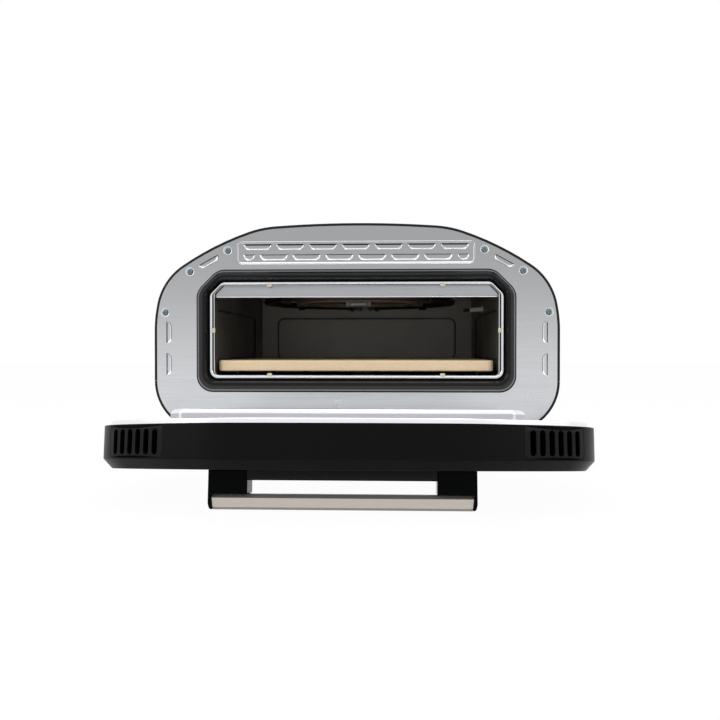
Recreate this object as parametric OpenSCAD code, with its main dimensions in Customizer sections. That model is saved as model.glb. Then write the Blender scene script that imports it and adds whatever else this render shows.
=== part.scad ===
// Countertop electric pizza oven whose whole front is a door hinged below the body.
// It is drawn with the door open, as it stands on a table. +Z is up, the door is at
// the -Y side, and the origin is on the table at the centre of the open footprint.
// Body pieces use x across, y to the rear from the face panel, z up from the underside.
// Door pieces use the same axes with the door closed, then swing about the hinge.

/* [Body] */
// Width of the face panel on either side of the bezel
side_margin = 48.3; // [45:0.1:60]
// Height of the face panel between the bezel and the vent field
vent_gap = 5.9; // [5.5:0.1:10]
// Depth of the space behind the cavity for the fan and the wiring
service_d = 60; // [56:1:90]
// Height of the body's underside above the table
stand_h = 48; // [46:1:60]
// Radius of the two lower corners
corner_r = 58; // [50:1:60]
// Radius of the arc where each side starts to lean in
side_r = 153; // [150:1:160]
// Radius of the shoulder arc
shoulder_r = 69; // [66:1:74]
// Radius of the long arc above the shoulder
slope_r = 327; // [320:1:335]
// Radius of the arc that leads into the crown
brow_r = 118; // [112:1:125]
// Thickness of the wrapped outer sheet and the base pan
shell_t = 1.2; // [0.8:0.1:1.6]
// Width of the black hem that shows round the face panel
hem_w = 2.8; // [2.4:0.1:3.6]
// Width of the flanges that carry the face panel and the rear cover
flange_w = 10; // [8:0.5:12]
// Thickness of the face panel
panel_t = 1; // [0.8:0.1:1.2]
// Thickness of the rear cover
cover_t = 1.5; // [1:0.1:2]

/* [Face] */
// Half length of the embossed vent field
vent_half = 135; // [131:1:140]
// Height of the embossed vent field
vent_h = 26; // [24:0.2:26]
// Distance from the crown down to the top of the vent field
vent_drop = 20.3; // [18:0.1:20.5]
// Length of one pressed louvre
louvre_w = 32; // [28:0.5:34]
// Height of one pressed louvre
louvre_h = 5.1; // [4:0.1:5.4]
// Depth to which a louvre is pressed inwards
louvre_depth = 3; // [2:0.1:4]
// Distance between neighbouring louvres
louvre_pitch = 37.2; // [36:0.1:38]
// Diameter of the face screws
screw_d = 3; // [2.5:0.1:3.5]
// Diameter of the face screw heads
screw_head_d = 6; // [5:0.1:7]
// Distance of the face screws from the outline
screw_inset = 10.6; // [9.5:0.1:11.5]

/* [Mouth] */
// Height of the lower edge of the clear mouth
mouth_lo = 65.3; // [64:0.1:67]
// Height of the clear mouth
mouth_h = 104.1; // [94:0.1:115]
// Width of the mouth rim at its sides
rim_w = 5.5; // [5:0.1:6]
// Width of the bezel at its sides
bezel_w = 12.5; // [11.5:0.1:13]
// Depth of the mouth rim behind the face panel
rim_y = 10.6; // [10.2:0.1:12]
// Cut of the upper corners of the mouth
mouth_cut = 12; // [10:0.5:14]

/* [Cavity] */
// Height of the cavity floor
floor_z = 45; // [42:0.5:48]
// Distance of the cavity ceiling above the clear mouth
ceiling_rise = 2.6; // [2:0.1:4]
// Thickness of the cavity sheets
liner_t = 1; // [0.8:0.1:1.2]
// Depth of the pressed fields in the cavity walls
emboss_t = 1.5; // [1:0.1:2]
// Width and depth of the pizza stone
stone_w = 316; // [285:1:350]
// Gap between the stone and the side of the clear mouth
stone_side = 5.7; // [4:0.1:10]
// Room between the stone and the back wall
stone_back = 27.5; // [24:0.5:40]
// Thickness of the pizza stone
stone_t = 12.4; // [10:0.1:13]
// Height of the top of the pizza stone
stone_top = 81.3; // [80:0.1:83]
// Distance of the stone behind the face panel
stone_y = 16.5; // [16:0.5:24]
// Height of the heat baffle
baffle_h = 16; // [10:0.1:17]

/* [Heating] */
// Centreline radius of the outer upper element
outer_ring_r = 123; // [118:1:128]
// Centreline radius of the inner upper element
inner_ring_r = 77; // [70:1:84]
// Centreline radius of the lower element
lower_ring_r = 112; // [100:1:118]
// Diameter of the outer elements
tube_d = 8; // [7:0.1:8.5]
// Diameter of the inner upper element
inner_tube_d = 6.5; // [6:0.1:7.5]
// Drop of the upper elements' centreline below the ceiling
upper_drop = 15.5; // [14:0.1:17]
// Rise of the lower element's centreline above the floor
lower_rise = 12; // [10:0.1:13]

/* [Door] */
// Angle of the door from closed to open
open_angle = 82.37; // [75:0.01:88]
// Gap between the door's rim and the face panel when it is closed
door_gap = 7; // [6:0.1:8]
// How far the door stands out past the body's outline
door_over = 1.7; // [1:0.1:3]
// Depth of the door's straight side wall
door_wall_h = 30.3; // [28:0.1:34]
// Depth of the bevel round the door's outer face
door_bevel_h = 9; // [7:0.1:10]
// Inward step of that bevel
door_bevel_w = 8.15; // [6:0.05:10]
// Wall thickness of the door shell
door_t = 2; // [1.6:0.1:2.4]
// Height of the inner panel above the door's rim
sheet_rise = 4.4; // [4:0.1:4.8]
// Gap between the closed door's plug and the mouth rim
plug_clear = 0.8; // [0.6:0.1:3]
// Distance of the hinge axis in front of the face panel
hinge_out = 16; // [15.5:0.1:16.5]
// Distance of the hinge axis below the underside
hinge_drop = 7.9; // [7.8:0.1:9]
// Diameter of the hinge pins
hinge_pin_d = 5; // [4:0.1:5.5]
// Distance of each hinge from the middle
hinge_x = 120; // [100:1:150]
// Margin of the plug beside the window
window_side = 34.5; // [30:0.5:60]
// Margin of the plug above and below the window
window_edge = 22; // [20:0.5:30]
// Thickness of the window glass
glass_t = 4; // [3:0.1:5]

/* [Handle] */
// Half length of the handle bar
bar_half = 112; // [105:0.5:114]
// Height of the handle bar
bar_h = 21; // [18:0.5:22]
// Thickness of the handle bar
bar_t = 13.2; // [12:0.1:14]
// Clear gap between the door and the back of the handle bar
bar_gap = 20.7; // [20:0.1:22]
// Distance from the crown down to the handle bar
bar_drop = 29; // [26:0.5:31]
// Half distance between the posts' inner faces
post_in = 81; // [76:0.1:84]
// Half distance between the posts' outer faces
post_out = 115; // [114.2:0.1:118]
// Thickness of the plate between the posts
plate_t = 8.8; // [6:0.1:9]

/* [Controls] */
// Half length of the control fascia
fascia_half = 120; // [114:1:125]
// Height of the control fascia
fascia_h = 34; // [30:0.5:36]
// Drop of the fascia's middle below the window
fascia_drop = 42; // [40:0.5:44]
// Diameter of the push buttons
button_d = 12; // [10:0.1:13]
// Travel of the push buttons
button_travel = 1.2; // [0.8:0.1:1.4]

/* [Hidden] */
$fn = 48;

eps = 0.05;
gap = 0.3;
run_fit = 0.05;

// Sizes that follow from the stone and the mouth
rim_top_w = 2.9;
mouth_half = stone_w / 2 + stone_side;
mouth_hi = mouth_lo + mouth_h;
cavity_d = stone_y + stone_w + stone_back;
ceiling_z = mouth_hi + ceiling_rise;
body_w = 2 * (mouth_half + rim_w + bezel_w + side_margin);
body_h = mouth_hi + rim_top_w + bezel_w + vent_gap + vent_h + vent_drop;
body_d = cavity_d + service_d;
ring_y = stone_y + stone_w / 2;
upper_z = ceiling_z - upper_drop;
lower_z = floor_z + lower_rise;

// Outline: each arc's radius and the heading at which it ends, going up the right side
arc_to = [12, 56, 71, 86, 90];
arc_steps = [3, 8, 5, 4, 4];
corner_steps = 9;
lean_r = [side_r, shoulder_r, slope_r, brow_r];
brow_x = body_w / 2 - side_r + sum_of([for (i = [0:2])
    (lean_r[i] - lean_r[i + 1]) * cos(arc_to[i])]);
crown_r = brow_r + brow_x / cos(arc_to[3]);
arc_r = concat(lean_r, [crown_r]);
side_top = body_h - crown_r - sum_of([for (i = [0:3]) (arc_r[i] - arc_r[i + 1]) * sin(arc_to[i])]);
seam_z = corner_r;
lap_h = 12;

function sum_of(v, i = 0) = i < len(v) ? v[i] + sum_of(v, i + 1) : 0;
function arc_centre(i) = i == 0 ? [body_w / 2 - side_r, side_top] :
    arc_centre(i - 1) + (arc_r[i - 1] - arc_r[i]) * [cos(arc_to[i - 1]), sin(arc_to[i - 1])];
function arc_at(t, i = 0) = i == len(arc_to) - 1 || t <= arc_to[i] ? i : arc_at(t, i + 1);
function on_dir(t) = [cos(t), sin(t)];
function spot(t, inset) = let (i = arc_at(t)) arc_centre(i) + (arc_r[i] - inset) * on_dir(t);
headings = concat([0], [for (i = [0:4]) let (from = i == 0 ? 0 : arc_to[i - 1])
    for (k = [1:arc_steps[i]]) from + (arc_to[i] - from) * k / arc_steps[i]]);
function corner_pts(inset) = [for (k = [0:corner_steps])
    [body_w / 2 - corner_r, corner_r] + (corner_r - inset) * on_dir(-90 + 90 * k / corner_steps)];
function half_pts(inset) = concat(corner_pts(inset), [for (t = headings) spot(t, inset)]);
function flipped(pts) = [for (i = [len(pts) - 1:-1:0]) [-pts[i][0], pts[i][1]]];

// Mouth outlines: half width, lower edge, upper edge, cut of the upper corners, lower radius
mouth_corner_r = 5;
mouth_steps = 5;
bezel_low_w = 13.8;
mouth_in = [mouth_half, mouth_lo, mouth_hi, mouth_cut, mouth_corner_r];
rim_out = [mouth_half + rim_w, mouth_lo - rim_w, mouth_hi + rim_top_w, mouth_cut + 3, 10];
bezel_out = [rim_out[0] + bezel_w, rim_out[1] - bezel_low_w, rim_out[2] + bezel_w,
    mouth_cut + 12, 18];
grow_cut = 2 - sqrt(2);
function grown(m, d) = [m[0] + d, m[1] - d, m[2] + d, m[3] + grow_cut * d, m[4] + d];
function mouth_half_pts(m) = concat([for (k = [0:mouth_steps])
    [m[0] - m[4], m[1] + m[4]] + m[4] * on_dir(-90 + 90 * k / mouth_steps)],
    [[m[0], m[2] - m[3]], [m[0] - m[3], m[2]]]);

// Screws and louvres that follow the shoulders
screw_turns = [8.6, 56.6, 65.6];
slant_turn = 61.1;
slant_inset = flange_w + louvre_h / 2 + 1.15;
slant_w = 24;
side_louvre_w = 26;
side_louvre_inset = 17.4;
side_louvre_z = [mouth_lo + 11.5, mouth_lo + 47.7];
vent_z = body_h - vent_drop - vent_h / 2;
upper_row = 3.6;
lower_row = 8.4;
end_louvre_x = 121.2;
end_louvre_w = 14;
bead_w = 2;
bead_t = 0.7;
vent_corner_r = 6;
screw_l = 6;
tab_r = 7;
head_t = 1.3;
recess = [1.7, 0.35, 0.8];
rear_low_x = body_w / 2 - corner_r;

// Cavity
cavity_half = mouth_half - 0.7;
wall_front = rim_y + 1.4;
rim_t = 1.2;
bead_rise = 0.8;
baffle_y = wall_front + 2.6;
baffle_t = 1;
baffle_hem = 1.6;
baffle_tab = 8;
baffle_tab_x = 120;
baffle_hi = mouth_hi + 0.3;
baffle_lo = baffle_hi - baffle_h;
side_field = [wall_front + 13, cavity_d - 66, floor_z + 37, ceiling_z - 32];
back_field = [cavity_half - 25.2, floor_z + 34, ceiling_z - 30.5];
rail_top = stone_top - stone_t;
rail_out = stone_w / 2 - 1;
rail_w = 18;
rail_in = rail_out - rail_w;
rail_y = [stone_y + 10, stone_y + stone_w + 4];
rail_stop_h = 7;
rail_t = 1.2;
stone_corner_r = 8;
stone_edge = 1.6;
blanket_t = 16;
blanket_y = [wall_front + 8, cavity_d - 4];
back_pad_t = 12;
back_pad_y = [cavity_d + liner_t + gap, cavity_d + liner_t + gap + back_pad_t];
floor_pad_t = 14;
floor_pad_lo = floor_z - liner_t - floor_pad_t;
support_half = cavity_half - 13;
support_w = 30;
support_y = [wall_front + 48, cavity_d - 60];
clip_x = 99.2;
clip_size = [7, 2.4, 2.2];

// Heating elements
outer_tail_x = 19;
inner_tail_x = 8.5;
tail_step = 0.4;
tail_end = back_pad_y[1] + 5;
ring_x = -2.5;
hanger_turns = [45, 135, 225, 315];
inner_hanger_turns = [0, 180];
hanger_t = 1.2;
hanger_w = 14;
hanger_lip = 2;
bushing_wall = 0.8;
bushing_l = 4;
bracket_half = 16.5;
bracket_h = 10;
bracket_t = 1.2;
bracket_claw = [3, 4, 5];
bracket_stem = 6;
sensor_r = 2.75;
sensor_w = 23;
probe_y = ring_y + 10.5;
probe_z = upper_z - 8.5;
probe_r = 3.1;
probe_tilt = 4;
probe_sleeve_l = 18;
probe_tail_l = 4;
probe_tip_l = 9;
probe_step = 0.9;

// Stand and hinge
plinth_h = 25;
plinth_half = body_w / 2 - 45;
plinth_y = [12, body_d - 25];
plinth_t = 2;
foot_h = stand_h - plinth_h;
foot_r = 18;
foot_lip = 2;
foot_lip_h = 3;
foot_x = plinth_half - 30;
foot_y = [plinth_y[0] + 63, plinth_y[1] - 35];
foot_bore = 12;
foot_screw_l = 10;
foot_head_t = 2;
hinge_r = 5.4;
arm_t = 6;
arm_root = 4;
lug_w = 16;
arm_x = lug_w / 2 + 0.4 + arm_t / 2;
hinge_y = -hinge_out;
hinge_z = -hinge_drop;
hinge_back = plinth_y[0] + hinge_out;
pin_over = 1.5;
hinge_plate_half = 27;
hinge_plate_t = 3;
hinge_plate_lo = hinge_drop - plinth_h + 1;
hinge_screw_x = 20;
hinge_screw_rise = 5;
stop_plate_z = 2.4;
stop_plate_y = hinge_r + 2;
heel_reach = 9.6;
lug_foot = 0.5;
lug_pad_half = 20;
lug_pad_y = [-12, 5];
lug_pad_t = 2.4;

// Cooling fan and power inlet
fan_x = rear_low_x / 2;
fan_z = floor_z + 75;
fan_w = 80;
fan_t = 15;
fan_wall = 3;
fan_r = fan_w / 2 - fan_wall;
fan_corner = 5;
fan_screw_r = 1.6;
fan_head_r = 3.2;
fan_head_t = 1.4;
fan_blades = 7;
blade_turn = 35;
blade_w = 11.2;
blade_t = 1;
hub_r = 14;
spindle_r = 1.5;
spider_t = 3;
spider_w = 6;
spider_turns = [45, 165, 285];
fan_y = body_d - cover_t - fan_t;
grille_pitch = 8;
grille_h = 3;
grille_step = 15;
grille_half = 5;
vent_step = 34;
vent_bar = 13;
inlet_x = 22 - rear_low_x;
inlet_z = floor_z + 17;
inlet_w = 48;
inlet_h = 22;
inlet_lip_t = 2.4;
inlet_lip = [5, 4];
inlet_base = 6;
socket_half = [12.2, 7.8];
socket_d = 16;
pin_x = 7;
pin_z = [-2, 2.5];
pin_r = 1.25;
pin_tail = 4;
pin_in = 5;
board_x = [-100, -20];
board_z = [floor_z + 25, floor_z + 95];
board_inset = [8, 6];
board_stand = 8;
post_r = 3;
circuit_t = 1.6;
transformer = [-90, -62, floor_z + 37, floor_z + 53, 15.4];
relay = [-52, -30, floor_z + 59, floor_z + 79, 11.4];
cutout_in = [43, 18];
cutout_x = [cavity_half - cutout_in[0], cavity_half - cutout_in[1]];
cutout_z = floor_z + 21;
cutout_r = 7;
cutout_h = 6;
cutout_ear = [11, 1, 4];

// Door, closed
rim_plane = -door_gap;
wall_end = rim_plane - door_wall_h;
face_out = wall_end - door_bevel_h;
face_in = face_out + door_t;
sheet_y = rim_plane + sheet_rise;
sheet_t = 1.2;
plug_y = rim_y - bead_rise - plug_clear;
sheet_inset = 4;
hem_back = 8;
plug_half = mouth_half + 0.8;
plug_lo = mouth_lo - 3.3;
plug_hi = mouth_hi - 1.4;
window_half = plug_half - window_side;
window_lo = plug_lo + window_edge;
window_hi = plug_hi - window_edge;
plug_out = [plug_half, plug_lo, plug_hi, mouth_cut, 10];
plug_ease = 3.5;
vent_mid_turn = 59;
vent_panel_w = 68;
vent_panel_d = 28.7;
vent_slots = 6;
vent_slot_pitch = 10;
vent_slot_w = 6.2;
vent_slot_d = [4.2, 26.6];
vent_reach = 26;
glass_frame = [20, 8];
glass_corner_r = 8;
glass_seat = [3, 5, 2];
outer_glass_out = [window_half + glass_frame[0], window_lo - glass_frame[1],
    window_hi + glass_frame[1]];
inner_corner_r = 10;
inner_glass_over = 8;
door_pad_gap = 8;
bar_lo = body_h - bar_drop - bar_h;
post_over = 3;
plate_over = 3;
post_z = [bar_lo - post_over, bar_lo + bar_h + post_over];
post_mid = (post_in + post_out) / 2;
bolt_r = 2;
bolt_in = 6;
bolt_head = [4, 2.6];
bar_back = face_out - bar_gap;
bar_front = bar_back - bar_t;
bar_bevels = [3.2, 2.2];
fascia_t = 3.2;
fascia_z = window_lo - fascia_drop;
fascia_corner_r = 6;
fascia_back = 0.6;
fascia_in = face_out + fascia_t + fascia_back;
fascia_lap = 3;
button_x = [-92, -62, 62, 92];
button_out = 1.4;
button_gap = 0.4;
button_lip = 1.2;
button_lip_t = 1;
stem_r = 2;
board_y = face_out + 8.5;
control_inset = 6;
control_half_h = 14;
switch_t = button_travel + 0.6;
switch_half = 3;
stand_at = [108, 10];
stand_r = 2;
display_half = 30;
display_h = 16;
display_fit = 0.2;
display_flange = 2;

// Reach of the open door in front of the face panel, at the crown's bevel line
crown_arm = body_h + door_over + hinge_drop;
door_reach = hinge_out + crown_arm * sin(open_angle) - (wall_end + hinge_out) * cos(open_angle);
face_y = (door_reach - body_d - inlet_lip_t) / 2;

// Drawing helpers
module in_body() translate([0, face_y, stand_h]) children();
module in_door() in_body() translate([0, hinge_y, hinge_z]) rotate([open_angle, 0, 0])
    translate([0, -hinge_y, -hinge_z]) children();
module deep(y0, y1) translate([0, y1, 0]) rotate([90, 0, 0]) linear_extrude(y1 - y0) children();
module along_x(w) rotate([90, 0, 90]) linear_extrude(w, center = true) children();
module both_sides() for (m = [0, 1]) mirror([m, 0, 0]) children();
module both_sides_2d() for (m = [0, 1]) mirror([m, 0]) children();
module outline(inset) polygon(concat(half_pts(inset), flipped(half_pts(inset))));
module band(inset, inner) difference() { outline(inset); outline(inner); }
module over(z) translate([-body_w, z]) square([2 * body_w, body_h]);
module under(z) translate([-body_w, z - body_h]) square([2 * body_w, body_h]);
module mouth(m) polygon(concat(mouth_half_pts(m), flipped(mouth_half_pts(m))));
module mouth_band(m, n) difference() { mouth(m); mouth(n); }
module slab(x, y, z) translate([x[0], y[0], z[0]]) cube([x[1] - x[0], y[1] - y[0], z[1] - z[0]]);
module rod_y(r, y0, y1) translate([0, y0, 0]) rotate([-90, 0, 0]) cylinder(r = r, h = y1 - y0);
module rod_x(r, w) rotate([0, 90, 0]) cylinder(r = r, h = w, center = true);
module panel_box(half_w, z0, z1, r) for (s = [0, 1]) {
    translate([-half_w + s * r, z0 + (1 - s) * r])
        square([2 * half_w - 2 * s * r, z1 - z0 - 2 * (1 - s) * r]);
    for (x = [-1, 1]) translate([x * (half_w - r), s == 0 ? z0 + r : z1 - r]) circle(r);
}
module at_spot(t, inset) {
    p = spot(t, inset);
    translate([p[0], 0, p[1]]) children();
}
module at_screws() both_sides() for (t = screw_turns) at_spot(t, screw_inset) children();
module at_rear_screws() {
    at_screws() children();
    both_sides() translate([rear_low_x, 0, screw_inset]) children();
}

// Shell, base pan and their flanges
module screw_circles(r, low) both_sides_2d() {
    for (t = screw_turns) translate(spot(t, screw_inset)) circle(r);
    if (low) translate([rear_low_x, screw_inset]) circle(r);
}
module flange(y0, low_tabs) deep(y0, y0 + shell_t) difference() {
    union() {
        band(0, flange_w);
        screw_circles(tab_r, low_tabs);
    }
    screw_circles(screw_d / 2 + run_fit, low_tabs);
}
module wrap() {
    deep(0, body_d - cover_t) band(0, shell_t);
    deep(0, panel_t) band(0, hem_w);
    flange(panel_t, false);
    flange(body_d - cover_t - shell_t, true);
}
module outer_shell() color("#1c1c1e") in_body() intersection() {
    wrap();
    deep(-eps, body_d) over(seam_z);
}
module base_pan() color("#1c1c1e") in_body() {
    lap_y = [panel_t + shell_t + gap, body_d - cover_t - shell_t - gap];
    lap = [shell_t + gap, 2 * shell_t + gap];
    intersection() {
        wrap();
        deep(-eps, body_d) under(seam_z - gap);
    }
    deep(lap_y[0], lap_y[1]) intersection() {
        band(shell_t - eps, lap[1]);
        translate([-body_w, seam_z - lap_h]) square([2 * body_w, lap_h - gap]);
    }
    deep(lap_y[0], lap_y[1]) intersection() {
        band(lap[0], lap[1]);
        translate([-body_w, seam_z - 2 * shell_t]) square([2 * body_w, lap_h]);
    }
}
module rear_cover() color("#1c1c1e") in_body() difference() {
    deep(body_d - cover_t, body_d) difference() {
        outline(0);
        translate([inlet_x, inlet_z]) square([inlet_w, inlet_h] + 2 * [gap, gap], center = true);
    }
    at_rear_screws() cover_hole(screw_d / 2);
    translate([fan_x, 0, fan_z]) {
        for (row = [-4:4], k = [-2:2]) grille_slot(k * grille_step, row, grille_half);
        fan_corners() cover_hole(fan_screw_r);
    }
    translate([-fan_x, 0, fan_z]) for (row = [-3:3], k = [-1:1])
        grille_slot(k * vent_step, row, vent_bar);
}
module cover_hole(r) rod_y(r + run_fit, body_d - 2 * cover_t, body_d + eps);
module grille_slot(x, row, half) translate([x, 0, row * grille_pitch])
    deep(body_d - 2 * cover_t, body_d + eps) {
        square([2 * half, grille_h], center = true);
        for (e = [-half, half]) translate([e, 0]) circle(grille_h / 2);
    }
module pan_screw(len) {
    rod_y(screw_d / 2, 0, len);
    difference() {
        rod_y(screw_head_d / 2, -head_t, 0);
        for (a = [0, 90]) rotate([0, a, 0]) slab([-recess[0], recess[0]],
            [-head_t - eps, -head_t + recess[2]], [-recess[1], recess[1]]);
    }
}
module face_screws() color("#9fb0b8") in_body() at_screws() pan_screw(screw_l);
module rear_screws() color("#303236") in_body() translate([0, body_d, 0]) mirror([0, 1, 0])
    at_rear_screws() pan_screw(screw_l);

// Face panel with pressed louvres
module crescent(w, h, wall) {
    r = min(h, w / 2) * 0.9;
    intersection() {
        translate([-w / 2 - wall, -wall]) square([w + 2 * wall, h + wall]);
        union() {
            translate([-w / 2 - wall, r]) square([w + 2 * wall, h - r]);
            translate([-w / 2 + r, -wall]) square([w - 2 * r, h]);
            for (s = [-1, 1]) translate([s * (w / 2 - r), r]) circle(r + wall);
        }
    }
}
module press_depth(h, extra) along_x(2 * louvre_w)
    polygon([[-1, -1], [extra, -1], [extra, 0], [louvre_depth + extra, h], [-1, h]]);
module louvre_opening(w, h) deep(-eps, louvre_depth + eps) crescent(w, h, 0);
module louvre_pan(w, h) difference() {
    intersection() {
        deep(eps, louvre_depth + panel_t) crescent(w, h, panel_t * 0.8);
        press_depth(h, panel_t * 0.8);
    }
    intersection() {
        deep(-eps, louvre_depth + eps) crescent(w, h, 0);
        press_depth(h, 0);
    }
}
module at_louvres(opening) {
    row_h = louvre_h + 1;
    for (k = [-3:3]) translate([k * louvre_pitch, 0, vent_z + upper_row])
        louvre_pick(opening, louvre_w, row_h);
    for (k = [-2.5:2.5]) translate([k * louvre_pitch, 0, vent_z - lower_row])
        louvre_pick(opening, louvre_w, row_h);
    both_sides() {
        translate([end_louvre_x, 0, vent_z - lower_row]) louvre_pick(opening, end_louvre_w, row_h);
        at_spot(slant_turn, slant_inset + louvre_h / 2) rotate([0, 90 - slant_turn, 0])
            louvre_pick(opening, slant_w, louvre_h);
        for (z = side_louvre_z) translate([body_w / 2 - side_louvre_inset - louvre_h / 2, 0, z])
            rotate([0, 90, 0]) louvre_pick(opening, side_louvre_w, row_h);
    }
}
module louvre_pick(opening, w, h) if (opening) louvre_opening(w, h); else louvre_pan(w, h);
module vent_field(inset) translate([0, vent_z]) panel_box(vent_half - inset,
    -vent_h / 2 + inset, vent_h / 2 - inset, vent_corner_r - inset);
module face_panel() color("#b9bcc0") in_body() {
    difference() {
        union() {
            deep(0, panel_t) difference() {
                outline(hem_w + gap / 2);
                mouth(grown(bezel_out, -1.5));
            }
            deep(-bead_t, eps) difference() {
                vent_field(0);
                vent_field(bead_w);
            }
        }
        at_screws() rod_y(screw_d / 2 + run_fit, -1, panel_t + eps);
        at_louvres(true);
    }
    at_louvres(false);
}

// Mouth
module funnel(m0, m1, y0, y1) hull() {
    deep(y0, y0 + eps) mouth(m0);
    deep(y1 - eps, y1) mouth(m1);
}
module bezel() color("#0c0c0e") in_body() difference() {
    union() {
        deep(-rim_t, 0) mouth(bezel_out);
        funnel(grown(bezel_out, -1.7), grown(rim_out, 1.6), -rim_t, rim_y);
    }
    funnel(grown(bezel_out, -3.2), rim_out, -rim_t - eps, rim_y + eps);
}
module clip_sites(grow) {
    size = clip_size + 2 * [grow, grow, grow];
    for (x = [-clip_x, clip_x], z = [mouth_lo - 2, mouth_hi + 0.4])
        translate([x, rim_y, z]) cube(size, center = true);
    both_sides() translate([mouth_half + 1.6, rim_y, mouth_lo + mouth_h / 2])
        rotate([0, 90, 0]) cube(size, center = true);
}
module rim_clips() color("#d9cdb4") in_body() clip_sites(0);
module mouth_rim() color("#b4b6b8") in_body() difference() {
    union() {
        deep(rim_y, rim_y + rim_t) mouth_band(grown(rim_out, 1.4), mouth_in);
        deep(rim_y - bead_rise, rim_y + eps) mouth_band(grown(rim_out, -0.1), grown(rim_out, -1.4));
        deep(rim_y - bead_rise, rim_y + eps) mouth_band(grown(mouth_in, 1.3), mouth_in);
    }
    clip_sites(run_fit);
}
module heat_baffle() color("#c4c6c8") in_body() {
    baffle = [cavity_half - 0.7, baffle_lo, baffle_hi, mouth_cut, 0.5];
    deep(baffle_y, baffle_y + baffle_t) mouth(baffle);
    slab([-baffle[0] + 1, baffle[0] - 1], [baffle_y - baffle_t, baffle_y + eps],
        [baffle_lo, baffle_lo + baffle_hem]);
    for (x = [-baffle_tab_x, 0, baffle_tab_x]) slab([x - baffle_tab, x + baffle_tab],
        [baffle_y, baffle_y + baffle_t], [baffle_hi - 1, ceiling_z]);
}

// Cavity sheets
module cavity_floor() color("#3a3a38") in_body() {
    slab([-cavity_half - liner_t, cavity_half + liner_t], [wall_front, cavity_d],
        [floor_z - liner_t, floor_z]);
    slab([-cavity_half, cavity_half], [wall_front, wall_front + liner_t],
        [floor_z - eps, mouth_lo - 1]);
}
module cavity_ceiling() color("#3a3a38") in_body()
    slab([-cavity_half - liner_t, cavity_half + liner_t], [wall_front, cavity_d],
        [ceiling_z, ceiling_z + liner_t]);
module side_wall() difference() {
    union() {
        slab([cavity_half, cavity_half + liner_t], [wall_front, cavity_d], [floor_z, ceiling_z]);
        slab([cavity_half, cavity_half + liner_t + emboss_t], [side_field[0], side_field[1]],
            [side_field[2], side_field[3]]);
    }
    slab([cavity_half - 1, cavity_half + emboss_t],
        [side_field[0] + liner_t, side_field[1] - liner_t],
        [side_field[2] + liner_t, side_field[3] - liner_t]);
    probe_line(probe_r + run_fit, -6, 12);
}
module cavity_right_wall() color("#3a3a38") in_body() side_wall();
module cavity_left_wall() color("#3a3a38") in_body() mirror([1, 0, 0]) side_wall();
module at_tails() {
    for (x = [-outer_tail_x, outer_tail_x]) {
        translate([ring_x + x, 0, upper_z]) children();
        translate([ring_x + x, 0, lower_z]) children();
    }
    for (x = [-inner_tail_x, inner_tail_x]) translate([ring_x + x, 0, upper_z]) children();
}
module cavity_back_wall() color("#3a3a38") in_body() difference() {
    union() {
        slab([-cavity_half - liner_t, cavity_half + liner_t], [cavity_d, cavity_d + liner_t],
            [floor_z - liner_t, ceiling_z + liner_t]);
        slab([-back_field[0], back_field[0]], [cavity_d - emboss_t, cavity_d + eps],
            [back_field[1], back_field[2]]);
    }
    slab([-back_field[0] + liner_t, back_field[0] - liner_t],
        [cavity_d - emboss_t + liner_t, cavity_d + 2 * liner_t],
        [back_field[1] + liner_t, back_field[2] - liner_t]);
    at_tails() rod_y(tube_d / 2 + tail_step + gap, cavity_d - emboss_t - 1, cavity_d + 3);
}

// Heating elements: an open ring whose ends enter two thicker tails to the rear
module element(ring_r, tube_r, tail_x, z) in_body() translate([ring_x, ring_y, z]) {
    open_half = asin(tail_x / ring_r);
    rotate([0, 0, 90 + open_half]) rotate_extrude(angle = 360 - 2 * open_half)
        translate([ring_r, 0]) circle(tube_r);
    for (x = [-tail_x, tail_x]) translate([x, 0, 0]) rod_y(tube_r + tail_step,
        ring_r * cos(open_half) - tube_r - tail_step, tail_end - ring_y);
}
module upper_outer_element() color("#26221f")
    element(outer_ring_r, tube_d / 2, outer_tail_x, upper_z);
module upper_inner_element() color("#6a5240")
    element(inner_ring_r, inner_tube_d / 2, inner_tail_x, upper_z);
module lower_element() color("#26221f") element(lower_ring_r, tube_d / 2, outer_tail_x, lower_z);
module hanger(ring_r, tube_r, turn, z0, z1, at_z) rotate([0, 0, turn]) translate([ring_r, 0, 0])
    difference() {
        slab([-hanger_w / 2, hanger_w / 2], [-hanger_t / 2, hanger_t / 2], [z0, z1]);
        translate([0, 0, at_z]) rod_y(tube_r + gap / 2, -hanger_t, hanger_t);
    }
module element_hangers() color("#77736c") in_body() translate([ring_x, ring_y, 0]) {
    for (a = hanger_turns) hanger(outer_ring_r, tube_d / 2, a,
        upper_z - tube_d / 2 - hanger_lip, ceiling_z, upper_z);
    for (a = inner_hanger_turns) hanger(inner_ring_r, inner_tube_d / 2, a,
        upper_z - inner_tube_d / 2 - hanger_lip, ceiling_z, upper_z);
}
module element_saddles() color("#77736c") in_body() translate([ring_x, ring_y, 0])
    for (a = hanger_turns) hanger(lower_ring_r, tube_d / 2, a, floor_z,
        lower_z + tube_d / 2 + hanger_lip, lower_z);
module element_bushings() color("#e6e0d2") in_body() translate([ring_x, 0, 0]) {
    for (x = [-outer_tail_x, outer_tail_x]) {
        translate([x, 0, upper_z]) bushing(tube_d / 2 + tail_step);
        translate([x, 0, lower_z]) bushing(tube_d / 2 + tail_step);
    }
    for (x = [-inner_tail_x, inner_tail_x]) translate([x, 0, upper_z])
        bushing(inner_tube_d / 2 + tail_step);
}
module bushing(r) difference() {
    rod_y(r + bushing_wall, back_pad_y[1], back_pad_y[1] + bushing_l);
    rod_y(r + run_fit, back_pad_y[1] - 1, back_pad_y[1] + bushing_l + 1);
}
module at_bracket() in_body() translate([ring_x - 1.5, ring_y, upper_z]) children();
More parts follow.
